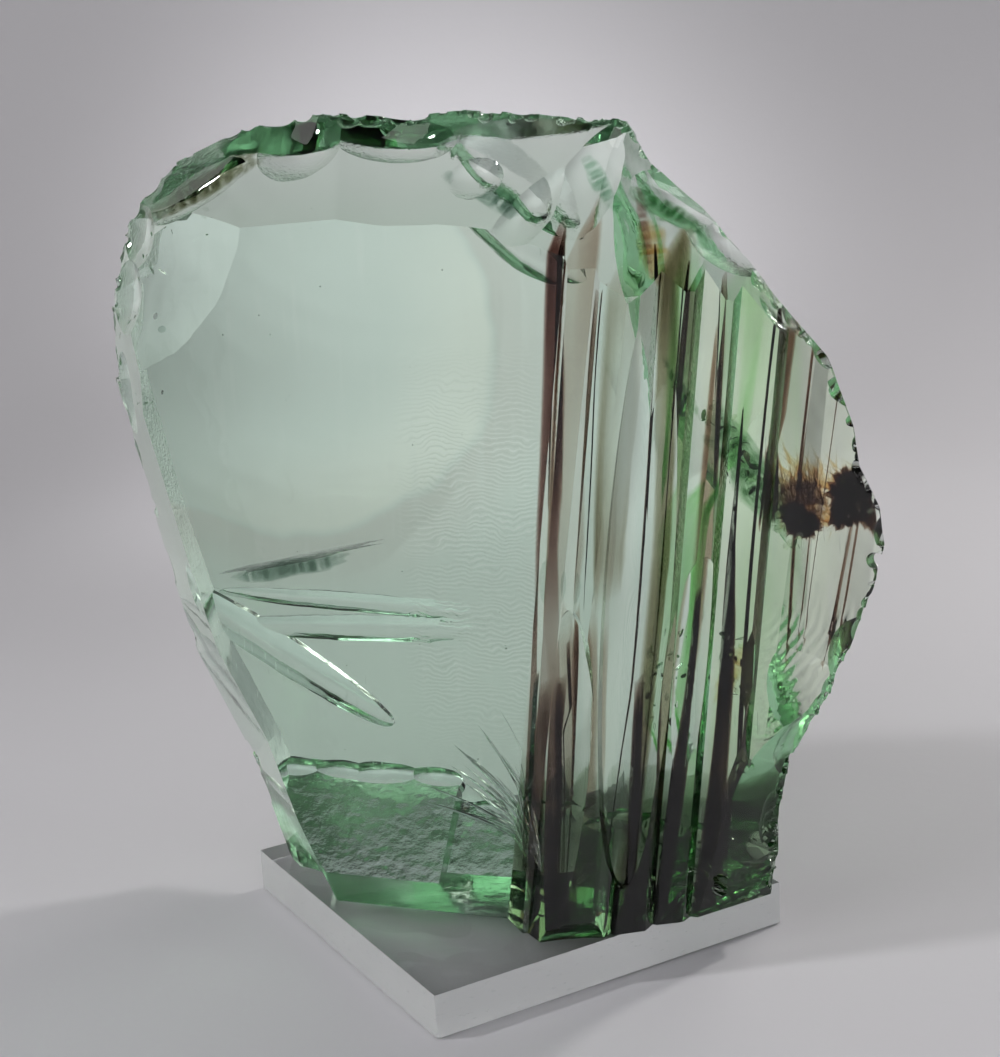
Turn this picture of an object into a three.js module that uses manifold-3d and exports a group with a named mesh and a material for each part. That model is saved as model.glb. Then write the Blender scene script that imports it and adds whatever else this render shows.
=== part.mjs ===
// A broken lump of streaked clear glass, standing on a square plate of clear acrylic.
// Millimetres, +Z up. The origin is the centre of the underside of the plate, and the
// broad flat face of the stone looks roughly along -Y.

import * as THREE from "three";
import * as BufferGeometryUtils from "three/addons/utils/BufferGeometryUtils.js";
import Module from "manifold-3d";

// Driving dimensions.
const STAND_SIDE = 90;
const STAND_THICKNESS = 10;
const STAND_TURN = 29.4;
const REST_GAP = 0.3;
const STONE_TURN = -20;
const FOOT = STAND_THICKNESS + REST_GAP;
const STONE_TOP = 190;
const FACE_TILT = 3;
const BACK_DEPTH = 22;
const FACE_DEPTH = -27;
const FAR = 90;

const wasm = await Module();
wasm.setup();

const radians = THREE.MathUtils.degToRad;

function vec(values) {
  return new THREE.Vector3(values[0], values[1], values[2]);
}

// A closed three.js geometry as a manifold solid, turned right side out if it needs it.
function solidOf(geometry) {
  const bare = geometry.clone();
  for (const name of ["normal", "uv"]) {
    if (bare.getAttribute(name)) {
      bare.deleteAttribute(name);
    }
  }
  const merged = BufferGeometryUtils.mergeVertices(bare, 1e-4);
  const points = new Float32Array(merged.getAttribute("position").array);
  const faces = new Uint32Array(merged.getIndex().array);
  const corner = [new THREE.Vector3(), new THREE.Vector3(), new THREE.Vector3()];
  let volume = 0;
  for (let f = 0; f < faces.length; f += 3) {
    corner.forEach((c, k) => c.fromArray(points, 3 * faces[f + k]));
    volume += corner[0].dot(corner[1].clone().cross(corner[2]));
  }
  if (volume < 0) {
    for (let f = 0; f < faces.length; f += 3) {
      [faces[f + 1], faces[f + 2]] = [faces[f + 2], faces[f + 1]];
    }
  }
  return new wasm.Manifold(new wasm.Mesh({ numProp: 3, vertProperties: points, triVerts: faces }));
}

function geometryOf(solid) {
  const mesh = solid.getMesh();
  const geometry = new THREE.BufferGeometry();
  geometry.setAttribute("position", new THREE.BufferAttribute(new Float32Array(mesh.vertProperties), 3));
  geometry.setIndex(new THREE.BufferAttribute(new Uint32Array(mesh.triVerts), 1));
  return geometry;
}

// Skins a stack of rings with the same number of points, and caps its two ends.
// flat(point) gives the two coordinates in which the end rings are triangulated.
function loft(rings, flat) {
  const count = rings[0].length;
  const positions = rings.flat(2);
  const faces = [];
  for (let r = 0; r + 1 < rings.length; r++) {
    for (let i = 0; i < count; i++) {
      const a = r * count + i;
      const b = r * count + ((i + 1) % count);
      faces.push(a, b, b + count, a, b + count, a + count);
    }
  }
  const outline = rings[0].map((p) => new THREE.Vector2(...flat(p)));
  const cap = THREE.ShapeUtils.triangulateShape(outline, []);
  const last = (rings.length - 1) * count;
  const sameWay = !THREE.ShapeUtils.isClockWise(outline);
  for (const [a, b, c] of cap) {
    if (sameWay) {
      faces.push(a, c, b, last + a, last + b, last + c);
    } else {
      faces.push(a, b, c, last + a, last + c, last + b);
    }
  }
  const geometry = new THREE.BufferGeometry();
  geometry.setAttribute("position", new THREE.BufferAttribute(new Float32Array(positions), 3));
  geometry.setIndex(faces);
  return geometry;
}

// Puts a cutter whose axis is +Y on a point of the stone, with that axis along the outward
// direction and its +Z as near to upright as can be, then spins it about that direction.
function place(geometry, point, outward, spin) {
  const out = vec(outward).normalize();
  const upright = new THREE.Vector3(0, 0, 1).projectOnPlane(out).normalize();
  const matrix = new THREE.Matrix4().makeBasis(out.clone().cross(upright), out, upright);
  return geometry.rotateY(radians(spin)).applyMatrix4(matrix.setPosition(vec(point)));
}

// Everything on the outer side of the plane through three points; outward says which side.
function planeCut(a, b, c, outward) {
  const normal = vec(b).sub(vec(a)).cross(vec(c).sub(vec(a))).normalize();
  if (normal.dot(vec(outward)) < 0) {
    normal.negate();
  }
  const block = new THREE.BoxGeometry(4 * FAR, FAR, 4 * FAR).translate(0, FAR / 2, 0);
  return solidOf(place(block, a, normal.toArray(), 0));
}

// The bowl that a conchoidal flake leaves: half width, half height, depth.
const BOWL_RINGS = 5;
const BOWL_SIDES = 22;
const BOWL_REACH = 1.3;
const BOWL_LID = 30;

function bowlCut({ at, out, half, depth, spin = 0 }) {
  const profile = [];
  for (let ring = 0; ring <= BOWL_RINGS; ring++) {
    const share = (BOWL_REACH * ring) / BOWL_RINGS;
    profile.push(new THREE.Vector2(half[0] * share, depth * (share * share - 1)));
  }
  profile.push(new THREE.Vector2(half[0] * BOWL_REACH, BOWL_LID));
  profile.push(new THREE.Vector2(0, BOWL_LID));
  const bowl = new THREE.LatheGeometry(profile, BOWL_SIDES).scale(1, 1, half[1] / half[0]);
  return solidOf(place(bowl, at, out, spin));
}

// ---------------------------------------------------------------- the stone's blank
// Its widest outline, clockwise from the left, as [across, up, depth, share]. The rim is
// there, and the sides fall in from it to the front and to the back. The share is what is
// left of a point's distance from the heart of the stone at SIDE_REACH behind it, so it
// sets how steeply the back falls away under that stretch of the rim.
const OUTLINE = [
  [-88, 128, -8, 0.96], [-87, 148, -8, 0.93], [-81, 165, -7, 0.86], [-70, 177, -4, 0.74],
  [-54, 185, 1, 0.8], [-37, 187, 4, 0.84], [-17, 185, 5, 0.86], [-2, 186, 6, 0.86],
  [27, 183.5, 6, 0.84], [34, 183, 4, 0.8], [41, 175, -3, 0.66], [52, 167, -6, 0.68],
  [61.5, 156, -7, 0.7], [69, 146, -8, 0.72], [78.5, 135, -8, 0.76], [83.5, 120, -7, 0.8],
  [84.5, 111, -6, 0.82], [88.5, 102, -5, 0.82], [89.5, 94, -5, 0.82], [87, 84, -5, 0.82],
  [82, 70, -5, 0.8], [76, 57, -4, 0.78], [68, 42, -3, 0.76], [65, 29, -2, 0.76],
  [65, 20, -2, 0.76], [59, -8, -2, 0.76], [48, -34, -3, 0.76], [0, -50, -4, 0.76],
  [-32, -40, -5, 0.8], [-46, -10, -7, 0.88], [-54, 12, -8, 0.94], [-61, 36, -8, 0.96],
  [-73.5, 62, -8, 0.97], [-78, 80, -8, 0.97], [-83, 104, -8, 0.97],
];
const HEART = [0, 95];
const SIDE_REACH = 60;
const FRONT_SHARE = 0.37;

function shrunk(shareOf, depth) {
  return OUTLINE.map((point) => [
    HEART[0] + (point[0] - HEART[0]) * shareOf(point),
    depth,
    HEART[1] + (point[1] - HEART[1]) * shareOf(point),
  ]);
}

function blank() {
  const rim = OUTLINE.map(([across, up, depth]) => [across, depth, up]);
  const front = shrunk(() => FRONT_SHARE, -SIDE_REACH);
  const back = shrunk((point) => point[3], SIDE_REACH);
  return solidOf(loft([front, rim, back], (p) => [p[0], p[2]]));
}

// ---------------------------------------------------------------- the front
// The broad face, then the steps of the streaked side, each as [across, depth] at the
// foot and at the top. The steps lean to the right as they rise. What is cut away runs
// from them to the front, wider than the stone and past its foot and its top.
const FACE_TOP_DEPTH = FACE_DEPTH + (STONE_TOP - FOOT) * Math.tan(radians(FACE_TILT));
const FRONT_LEFT = -140;
const FRONT_RIGHT = 150;
const PAST_FOOT = -0.2;
const PAST_TOP = 1.1;
const STEPS = [
  [[FRONT_LEFT, FACE_DEPTH], [FRONT_LEFT, FACE_TOP_DEPTH]],
  [[8, FACE_DEPTH], [27, FACE_TOP_DEPTH]],
  [[14, -33], [31, -18]],
  [[21, -38], [38, -16.5]],
  [[30, -34.5], [46.5, -17]],
  [[33, -29], [49.5, -13]],
  [[40, -26], [57, -14.5]],
  [[40.8, -22.5], [58, -11]],
  [[47, -20], [64.5, -11.5]],
  [[48, -17], [65.5, -9]],
  [[56, -16.5], [74, -9]],
  [[57.2, -13], [75.5, -6]],
  [[66, -10], [84, -4]],
  [[78, -6], [97, -1]],
  [[140, 4], [160, 6]],
];

function frontCut() {
  const ring = (level, height) => [
    ...STEPS.map((step) => [step[level][0], step[level][1], height]),
    [FRONT_RIGHT, -2 * FAR, height],
    [FRONT_LEFT, -2 * FAR, height],
  ];
  const below = ring(0, FOOT);
  const above = ring(1, STONE_TOP);
  const at = (share) =>
    below.map((p, i) => p.map((value, k) => value + (above[i][k] - value) * share));
  return solidOf(loft([at(PAST_FOOT), at(PAST_TOP)], (p) => [p[0], p[1]]));
}

// ---------------------------------------------------------------- flat facets
const FACETS = [
  // bevels along the top of the broad face, on both sides of its arched ridge
  { through: [[-59, -19.4, 163], [-12, -18.9, 166.4], [-30, 1.5, 184]], out: [0, -1, 1] },
  { through: [[-12, -18.9, 166.4], [14, -19, 162.5], [6, 1, 183.5]], out: [0, -1, 1] },
  { through: [[10, -19, 163.5], [42.7, -21, 149.5], [33, 2, 180]], out: [0, -1, 1] },
  { through: [[42.7, -21, 149.5], [57, -13, 161], [41, -12, 181]], out: [0.2, -1, 0.2] },
  // the back: broad plane, bevel above it, bevel down to the foot, and the right shoulder
  { through: [[0, BACK_DEPTH, 20], [50, BACK_DEPTH - 2, 20], [0, BACK_DEPTH, 150]], out: [0, 1, 0] },
  { through: [[-60, 22, 165], [30, 22, 173], [0, 12, 184]], out: [0, 1, 1] },
  { through: [[-13, BACK_DEPTH, 22.5], [60, BACK_DEPTH, 20], [20, 5, FOOT]], out: [0, 1, -1] },
  { through: [[40, 22, 100], [74, 6, 100], [40, 20, 40]], out: [1, 1, 0] },
];

// The foot falls away towards the back on the left, from this height at the back plane.
const UNDERCUT_EDGE = -13;
const UNDERCUT_TOP = 29;
const UNDERCUT_FOOT_DEPTH = -6;

function undercut() {
  const slope = (UNDERCUT_TOP - FOOT) / (BACK_DEPTH - UNDERCUT_FOOT_DEPTH);
  const heightAt = (depth) => UNDERCUT_TOP + (depth - BACK_DEPTH) * slope;
  const near = UNDERCUT_FOOT_DEPTH - SIDE_REACH / 2;
  const ring = (across) => [
    [across, near, heightAt(near)],
    [across, FAR, heightAt(FAR)],
    [across, FAR, -FAR],
    [across, near, -FAR],
  ];
  return solidOf(loft([ring(-2 * FAR), ring(UNDERCUT_EDGE)], (p) => [p[1], p[2]]));
}

// ---------------------------------------------------------------- conchoidal flakes
const FLAKES = [
  // top left corner: the shallow scar on the face, the long dark flake, the bright ones
  { at: [-75, -15.5, 166], out: [-0.12, -1, 0.1], half: [29, 27.5], depth: 3 },
  { at: [-62, -9, 172], out: [-0.2, -0.7, 0.7], half: [19, 7], depth: 3, spin: 40 },
  { at: [-76, -12, 161], out: [-0.5, -0.7, 0.4], half: [7, 10], depth: 2.4, spin: 30 },
  { at: [-79, -13, 148], out: [-0.6, -0.75, 0.2], half: [6, 8], depth: 2.2 },
  { at: [-82, -12, 124], out: [-0.73, -0.68, 0], half: [4, 9], depth: 1.4 },
  // along the top rim
  { at: [-38, -3, 180], out: [-0.1, -0.65, 0.75], half: [11, 11], depth: 3.6, spin: 25 },
  { at: [-15, -2, 181], out: [0, -0.6, 0.8], half: [16, 8], depth: 4.2, spin: -6 },
  { at: [4, -9, 174], out: [0.1, -0.7, 0.7], half: [8, 8], depth: 2.6 },
  { at: [18, -14, 166.5], out: [0.2, -0.75, 0.65], half: [5, 15], depth: 2, spin: -35 },
  { at: [28, -5, 173], out: [0.26, -0.76, 0.6], half: [6, 14], depth: 1.6, spin: -20 },
  { at: [22, 5, 186], out: [0.1, 0.3, 1], half: [12, 7], depth: 2 },
  { at: [-44, 7, 186], out: [-0.2, 0.4, 1], half: [14, 7], depth: 2.2 },
  { at: [37, 0, 181], out: [0.6, -0.3, 0.8], half: [7, 9], depth: 2.5 },
  { at: [45, -5, 168], out: [0.45, -0.65, 0.6], half: [13, 6], depth: 3.6, spin: -42 },
  { at: [57, -6, 158], out: [0.5, -0.6, 0.6], half: [9, 6], depth: 2.6, spin: -48 },
  // down the right rim
  { at: [71, -9, 143], out: [0.6, -0.7, 0.4], half: [12, 4], depth: 2, spin: -52 },
  { at: [81, -8, 127], out: [0.8, -0.6, 0.2], half: [4, 9], depth: 1.8, spin: 15 },
  { at: [85, -6, 112], out: [0.9, -0.4, 0.1], half: [4, 5], depth: 1.8 },
  { at: [90, -5, 99], out: [0.9, -0.5, 0], half: [4, 6], depth: 1.8 },
  { at: [86, -6, 82], out: [0.8, -0.6, -0.2], half: [5, 7], depth: 2 },
  { at: [71, -11, 64], out: [0.35, -0.93, -0.05], half: [12, 20], depth: 3.4, spin: 18 },
  { at: [80, -6, 70], out: [0.75, -0.65, -0.1], half: [6, 9], depth: 1.6, spin: 24 },
  { at: [68, -6, 46], out: [0.9, -0.4, -0.2], half: [6, 8], depth: 2.2 },
  { at: [64, -6, 28], out: [0.9, -0.5, 0], half: [5, 9], depth: 2 },
  // the long hollow between two steps, and the splinters beside it
  { at: [41.5, -21.5, 88], out: [0.12, -1, 0.03], half: [6, 52], depth: 2.6, spin: -5.5 },
  { at: [50, -19, 60], out: [0.25, -1, 0.1], half: [5, 26], depth: 1.8, spin: -7 },
  { at: [24, -33, 40], out: [-0.1, -1, 0.2], half: [6, 34], depth: 2.4, spin: -3 },
  // the foot
  { at: [60, -14, 14], out: [0.5, -0.7, -0.5], half: [8, 6], depth: 3 },
  { at: [32, -35, 12], out: [0.2, -0.8, -0.6], half: [15, 7], depth: 3 },
  { at: [12, -33, 18], out: [-0.7, -0.6, 0.1], half: [7, 11], depth: 2.4 },
  { at: [-42, -20, 15], out: [-0.5, -0.5, -0.6], half: [9, 7], depth: 3 },
  { at: [-66, -21, 80], out: [-0.7, -0.7, 0], half: [4, 7], depth: 2 },
  // the back: great shallow scars, and smaller flakes off its edges
  { at: [-52, 22, 142], out: [0, 1, 0], half: [56, 56], depth: 4 },
  { at: [44, 20, 132], out: [0.3, 1, 0.1], half: [34, 44], depth: 5 },
  { at: [-60, 22.2, 58.5], out: [0.1, 1, 0.1], half: [27, 3.8], depth: 1.5, spin: 30 },
  { at: [4, 20, 157], out: [0.35, 0.8, 0.5], half: [5, 15], depth: 2.2, spin: -38 },
  // the broken edge between the back and its undercut
  { at: [-56, 21, 28], out: [0, 0.75, -0.6], half: [7, 3.2], depth: 1.4 },
  { at: [-44, 21, 28.5], out: [0.1, 0.75, -0.6], half: [8, 2.6], depth: 1.2 },
  { at: [-31, 21, 28.5], out: [-0.1, 0.75, -0.6], half: [9, 3.4], depth: 1.6 },
  { at: [-20, 21, 29], out: [0.1, 0.75, -0.6], half: [6, 2.6], depth: 1.2 },
  { at: [0, 21, 22], out: [0, 0.75, -0.6], half: [9, 3], depth: 1.4 },
  { at: [22, 20, 21], out: [0, 0.75, -0.6], half: [11, 3], depth: 1.4 },
  { at: [44, 16, 20], out: [0.3, 0.75, -0.6], half: [10, 4], depth: 1.8 },
];

// ---------------------------------------------------------------- the pieces
function glass(colour, roughness) {
  return new THREE.MeshStandardMaterial({ color: colour, roughness, metalness: 0 });
}

function makeCrystal() {
  const base = new THREE.BoxGeometry(4 * FAR, 4 * FAR, FAR).translate(0, 0, FOOT - FAR / 2);
  let stone = blank().subtract(frontCut()).subtract(solidOf(base)).subtract(undercut());
  for (const { through, out } of FACETS) {
    stone = stone.subtract(planeCut(...through, out));
  }
  for (const flake of FLAKES) {
    stone = stone.subtract(bowlCut(flake));
  }
  const pieces = stone.decompose().sort((a, b) => b.volume() - a.volume());
  const mesh = new THREE.Mesh(geometryOf(pieces[0]), glass(0xb9d6c4, 0.05));
  mesh.name = "crystal";
  mesh.rotation.z = radians(STONE_TURN);
  return mesh;
}

function makeStand() {
  const plate = new THREE.BoxGeometry(STAND_SIDE, STAND_SIDE, STAND_THICKNESS);
  const mesh = new THREE.Mesh(plate, glass(0xdfe6e4, 0.04));
  mesh.name = "stand";
  mesh.position.z = STAND_THICKNESS / 2;
  mesh.rotation.z = radians(STAND_TURN);
  return mesh;
}

const group = new THREE.Group();
group.add(makeStand());
group.add(makeCrystal());

export default group;
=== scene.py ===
# %% [markdown]
# # A broken lump of streaked glass on a clear plate
#
# The object is a big lump of clear, pale green glass that was broken off a larger block. It has one
# broad flat face, a side that broke in long upright steps along brown and green streaks, and a chipped
# rim. It stands on a square plate of clear acrylic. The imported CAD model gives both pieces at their
# real size, so it is loaded first and everything below is built around it, in metres, +Z up.

# %% Load the fixed frame
import math

import bmesh
import bpy
import numpy as np
from mathutils import Matrix, Vector


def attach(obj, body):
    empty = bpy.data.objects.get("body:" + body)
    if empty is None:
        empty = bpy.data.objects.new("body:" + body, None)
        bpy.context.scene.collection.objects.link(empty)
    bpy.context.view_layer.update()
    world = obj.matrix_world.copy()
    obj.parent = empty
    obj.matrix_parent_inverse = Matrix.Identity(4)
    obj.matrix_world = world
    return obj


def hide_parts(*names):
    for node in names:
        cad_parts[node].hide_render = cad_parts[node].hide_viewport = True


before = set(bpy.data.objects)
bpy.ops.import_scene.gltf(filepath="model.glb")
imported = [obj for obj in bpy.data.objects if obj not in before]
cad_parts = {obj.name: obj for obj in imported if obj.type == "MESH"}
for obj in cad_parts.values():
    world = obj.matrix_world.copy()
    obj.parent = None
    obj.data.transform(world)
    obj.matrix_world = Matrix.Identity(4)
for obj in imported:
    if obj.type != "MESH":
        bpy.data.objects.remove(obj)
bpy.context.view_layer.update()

MM = 0.001
scene = bpy.context.scene

# %% [markdown]
# ## The camera
#
# A lens of 68 mm on a 36 mm sensor stands 0.44 m in front of the stone, a little above its top, and
# looks 15 degrees down. The camera hangs slightly crooked, so its own right-hand axis is turned by the
# roll. It is built from its three axes, which is easier to read
# than Euler angles when pitch and roll come together.

# %% Place the camera
CAMERA_PLACE = Vector((0.0020, -0.4370, 0.2126))
CAMERA_PITCH = math.radians(15.3)
CAMERA_ROLL = math.radians(-3.25)
CAMERA_LENS = 68.1
CAMERA_SENSOR = 36

ahead = Vector((0, math.cos(CAMERA_PITCH), -math.sin(CAMERA_PITCH)))
level = Vector((1, 0, 0))
upward = level.cross(ahead)
camera_right = math.cos(CAMERA_ROLL) * level + math.sin(CAMERA_ROLL) * upward
camera_up = camera_right.cross(ahead)

camera_data = bpy.data.cameras.new("camera")
camera_data.lens = CAMERA_LENS
camera_data.sensor_width = CAMERA_SENSOR
camera = bpy.data.objects.new("camera", camera_data)
scene.collection.objects.link(camera)
turn = Matrix((camera_right, camera_up, -ahead)).transposed()
camera.matrix_world = Matrix.Translation(CAMERA_PLACE) @ turn.to_4x4()
scene.camera = camera
print("camera", [round(x, 4) for x in camera.location])

# %% [markdown]
# ## Shader maths as Python expressions
#
# A node tree is a formula drawn with wires. Wrapping a socket in a small class with operators lets the
# formula be written as one: `1 - mask * 0.4` adds its Math nodes by itself. Colours and vectors go
# through Mix and Vector Math, because a Math node would turn them grey.

# %% The socket class
class Wire:
    """One output socket, with arithmetic that adds nodes to its tree."""

    def __init__(self, tree, socket):
        self.tree = tree
        self.socket = socket

    def maths(self, operation, *values):
        return maths(self.tree, operation, self, *values)

    def __add__(self, other):
        return maths(self.tree, "ADD", self, other)

    __radd__ = __add__

    def __sub__(self, other):
        return maths(self.tree, "SUBTRACT", self, other)

    def __rsub__(self, other):
        return maths(self.tree, "SUBTRACT", other, self)

    def __mul__(self, other):
        return maths(self.tree, "MULTIPLY", self, other)

    __rmul__ = __mul__

    def __pow__(self, other):
        return maths(self.tree, "POWER", self, other)

    def band(self, low, high):
        """0 below low, 1 above high, and a smooth rise between them."""
        return add_node(
            self.tree, "ShaderNodeMapRange",
            {"interpolation_type": "SMOOTHSTEP", "clamp": True},
            Value=self, From_Min=low, From_Max=high, To_Min=0.0, To_Max=1.0,
        )


def feed(tree, socket, value):
    """Puts a wire or a plain value on an input socket."""
    if isinstance(value, Wire):
        tree.links.new(value.socket, socket)
    else:
        socket.default_value = value


def add_node(tree, kind, settings=None, out=0, **values):
    """Adds a node: its settings first, then the values or links of its sockets, by name or number."""
    node = tree.nodes.new(kind)
    for name, value in (settings or {}).items():
        if name == "stops":
            ramp = node.color_ramp
            while len(ramp.elements) < len(value):
                ramp.elements.new(0.5)
            for element, (place, colour) in zip(ramp.elements, value):
                element.position = place
                element.color = (*colour, 1.0)
        else:
            setattr(node, name, value)
    for name, value in values.items():
        key = int(name[1:]) if name[0] == "i" and name[1:].isdigit() else name.replace("_", " ")
        feed(tree, node.inputs[key], value)
    return Wire(tree, node.outputs[out])


def maths(tree, operation, *values):
    sockets = {f"i{k}": value for k, value in enumerate(values)}
    return add_node(tree, "ShaderNodeMath", {"operation": operation}, **sockets)


def mix(tree, share, first, second):
    """A colour between two colours."""
    return add_node(
        tree, "ShaderNodeMix", {"data_type": "RGBA"}, out=2, i0=share, i6=first, i7=second
    )


def vector(tree, operation, *values, out=0):
    """Vector maths, for places and directions."""
    sockets = {f"i{k}": value for k, value in enumerate(values)}
    return add_node(tree, "ShaderNodeVectorMath", {"operation": operation}, out=out, **sockets)


def split(tree, value):
    """The three parts of a vector, as three wires."""
    node = add_node(tree, "ShaderNodeSeparateXYZ", Vector=value).socket.node
    return [Wire(tree, socket) for socket in node.outputs]


def noise(tree, place, stretch, detail=2.0, rough=0.5):
    """Cloudy noise, 0 to 1. stretch is how many lumps there are per unit along each axis."""
    return add_node(
        tree, "ShaderNodeTexNoise", Vector=vector(tree, "MULTIPLY", place, stretch), Scale=1.0,
        Detail=detail, Roughness=rough,
    )


def new_material(name):
    material = bpy.data.materials.new(name)
    material.use_nodes = True
    material.node_tree.nodes.clear()
    return material, material.node_tree


def close_material(tree, surface=None, volume=None):
    output = tree.nodes.new("ShaderNodeOutputMaterial")
    if surface is not None:
        tree.links.new(surface.socket, output.inputs["Surface"])
    if volume is not None:
        tree.links.new(volume.socket, output.inputs["Volume"])


def rgb(red, green, blue):
    return (red, green, blue, 1.0)

# %% [markdown]
# ## The studio
#
# Clear glass has hardly a colour of its own: it shows what is around it, bent. So the studio is part of
# the look. A pale floor rises into a soft wall on every side, and above it the world is darker, because
# the facets of the rim turn the view upwards and a darker ceiling is what gives broken glass its dark
# accents. Big soft lights give it the bright ones.

# %% The floor and its sweep
FLOOR_FLAT = 0.46
FLOOR_LEVEL = -0.0004
SWEEP_RADIUS = 0.40
WALL_TOP = 0.43
SWEEP_STEPS = 24
SWEEP_SIDES = 96


def sweep_profile():
    profile = [(FLOOR_FLAT * k / 6, 0.0) for k in range(1, 7)]
    for k in range(1, SWEEP_STEPS + 1):
        a = math.pi / 2 * k / SWEEP_STEPS
        profile.append((FLOOR_FLAT + SWEEP_RADIUS * math.sin(a), SWEEP_RADIUS * (1 - math.cos(a))))
    profile.append((FLOOR_FLAT + SWEEP_RADIUS, WALL_TOP))
    return profile


def make_sweep():
    profile = sweep_profile()
    points = [(0.0, 0.0, 0.0)]
    for radius, height in profile:
        for k in range(SWEEP_SIDES):
            a = 2 * math.pi * k / SWEEP_SIDES
            points.append((radius * math.cos(a), radius * math.sin(a), height))
    faces = [(0, 1 + k, 1 + (k + 1) % SWEEP_SIDES) for k in range(SWEEP_SIDES)]
    for ring in range(len(profile) - 1):
        first = 1 + ring * SWEEP_SIDES
        for k in range(SWEEP_SIDES):
            n = (k + 1) % SWEEP_SIDES
            faces.append((first + k, first + SWEEP_SIDES + k, first + SWEEP_SIDES + n, first + n))
    mesh = bpy.data.meshes.new("floor")
    mesh.from_pydata(points, [], faces)
    mesh.shade_smooth()
    floor = bpy.data.objects.new("floor", mesh)
    floor.location.z = FLOOR_LEVEL
    scene.collection.objects.link(floor)
    return floor


FLOOR_PAINT = rgb(0.60, 0.59, 0.62)
floor = make_sweep()
paint, tree = new_material("studio_floor")
place = add_node(tree, "ShaderNodeNewGeometry")
grain = add_node(tree, "ShaderNodeTexNoise", Vector=place, Scale=220.0, Detail=3.0)
coat = add_node(tree, "ShaderNodeBump", Strength=0.06, Distance=0.001, Height=grain)
board = add_node(
    tree, "ShaderNodeBsdfPrincipled", Base_Color=FLOOR_PAINT, Roughness=0.75, Normal=coat
)
close_material(tree, board)
floor.data.materials.append(paint)

# %% The world and the lights
SKY_STRENGTH = 0.33
world = bpy.data.worlds.new("studio")
scene.world = world
world.use_nodes = True
sky = world.node_tree
sky.nodes.clear()
towards = add_node(sky, "ShaderNodeTexCoord")
height = add_node(sky, "ShaderNodeSeparateXYZ", out=2, Vector=towards)
shade = add_node(
    sky, "ShaderNodeValToRGB",
    {"stops": [
        (0.00, (0.30, 0.30, 0.32)), (0.50, (0.34, 0.34, 0.37)), (0.68, (0.10, 0.105, 0.105)),
        (0.82, (0.03, 0.035, 0.03)), (1.00, (0.20, 0.20, 0.22)),
    ]},
    Fac=height * 0.5 + 0.5,
)
glow = add_node(sky, "ShaderNodeBackground", Color=shade, Strength=SKY_STRENGTH)
end = sky.nodes.new("ShaderNodeOutputWorld")
sky.links.new(glow.socket, end.inputs["Surface"])

LIGHTS = {
    # name: place, size, watts, colour
    "window": ((-0.75, -0.55, 0.95), (0.55, 0.80), 2.7, (1.0, 0.99, 0.97)),
    "back_window": ((0.55, 0.62, 0.85), (0.40, 0.50), 2.0, (1.0, 0.97, 0.93)),
    "side_card": ((0.85, -0.35, 0.55), (0.20, 0.60), 0.7, (0.95, 0.97, 1.0)),
    "front_card": ((0.10, -0.66, 0.34), (0.60, 0.20), 1.4, (0.98, 0.99, 1.0)),
    "sparkle_left": ((-0.52, -0.10, 0.60), (0.05, 0.05), 1.6, (1.0, 1.0, 1.0)),
    "sparkle_right": ((0.50, 0.30, 0.42), (0.05, 0.05), 1.6, (1.0, 0.98, 0.94)),
}


STONE_MIDDLE = (0, 0, 0.09)
POOL_LAMP_RADIUS = 0.08


def hang(data, place, target):
    """Puts a light in its place and aims it."""
    light = bpy.data.objects.new(data.name, data)
    light.location = place
    aim = Vector(target) - Vector(place)
    light.rotation_euler = aim.to_track_quat("-Z", "Y").to_euler()
    scene.collection.objects.link(light)


def make_light(name, place, size, watts, colour):
    """A soft rectangular light that looks at the stone."""
    data = bpy.data.lights.new(name, "AREA")
    data.shape = "RECTANGLE"
    data.size, data.size_y = size
    data.energy = watts
    data.color = colour
    hang(data, place, STONE_MIDDLE)


for name, (spot, size, watts, colour) in LIGHTS.items():
    make_light(name, spot, size, watts, colour)


def make_pool(name, place, target, watts, degrees):
    """A soft round pool of light on the sweep behind the stone, which the clear glass shows."""
    data = bpy.data.lights.new(name, "SPOT")
    data.energy = watts
    data.spot_size = math.radians(degrees)
    data.spot_blend = 1.0
    data.shadow_soft_size = POOL_LAMP_RADIUS
    hang(data, place, target)


POOLS = {
    # name: where it hangs, where it falls, watts, degrees across
    "pool_far": ((-0.06, 0.50, 1.30), (-0.01, 0.70, 0.02), 36.0, 20),
    "pool_middle": ((-0.04, 0.42, 1.20), (-0.02, 0.42, 0.0), 26.0, 17),
    "pool_near": ((-0.02, 0.40, 1.10), (-0.02, 0.18, 0.0), 8.0, 11),
}
for name, (spot, target, watts, degrees) in POOLS.items():
    make_pool(name, spot, target, watts, degrees)
scene.view_settings.view_transform = "Standard"
print("lights", [*LIGHTS, *POOLS])

# %% [markdown]
# ## Knapping: how broken glass gets its shape
#
# Glass has no grain. A blow splits it along a smooth curved surface, so a broken lump is what is left
# when flat and bowl-shaped pieces have been knocked off a blank. The mesh is made in the same way: a
# blank is lofted, and cutters are taken from it with Boolean modifiers. Every cutter writes its own
# number on its faces, which the result keeps, so that the ridges where two cuts meet can be kept sharp
# while each bowl stays smooth. Lengths in these cells are millimetres in the stone's own frame:
# across, into the stone, up. The last step turns it and scales it to metres.

# %% Solids from rings, planes and bowls
STONE_TURN = math.radians(-20)
STAND_THICKNESS = 10.0
FOOT = STAND_THICKNESS + 0.3
STONE_TOP = 190.0
FAR = 90.0
cut_count = 0


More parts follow.
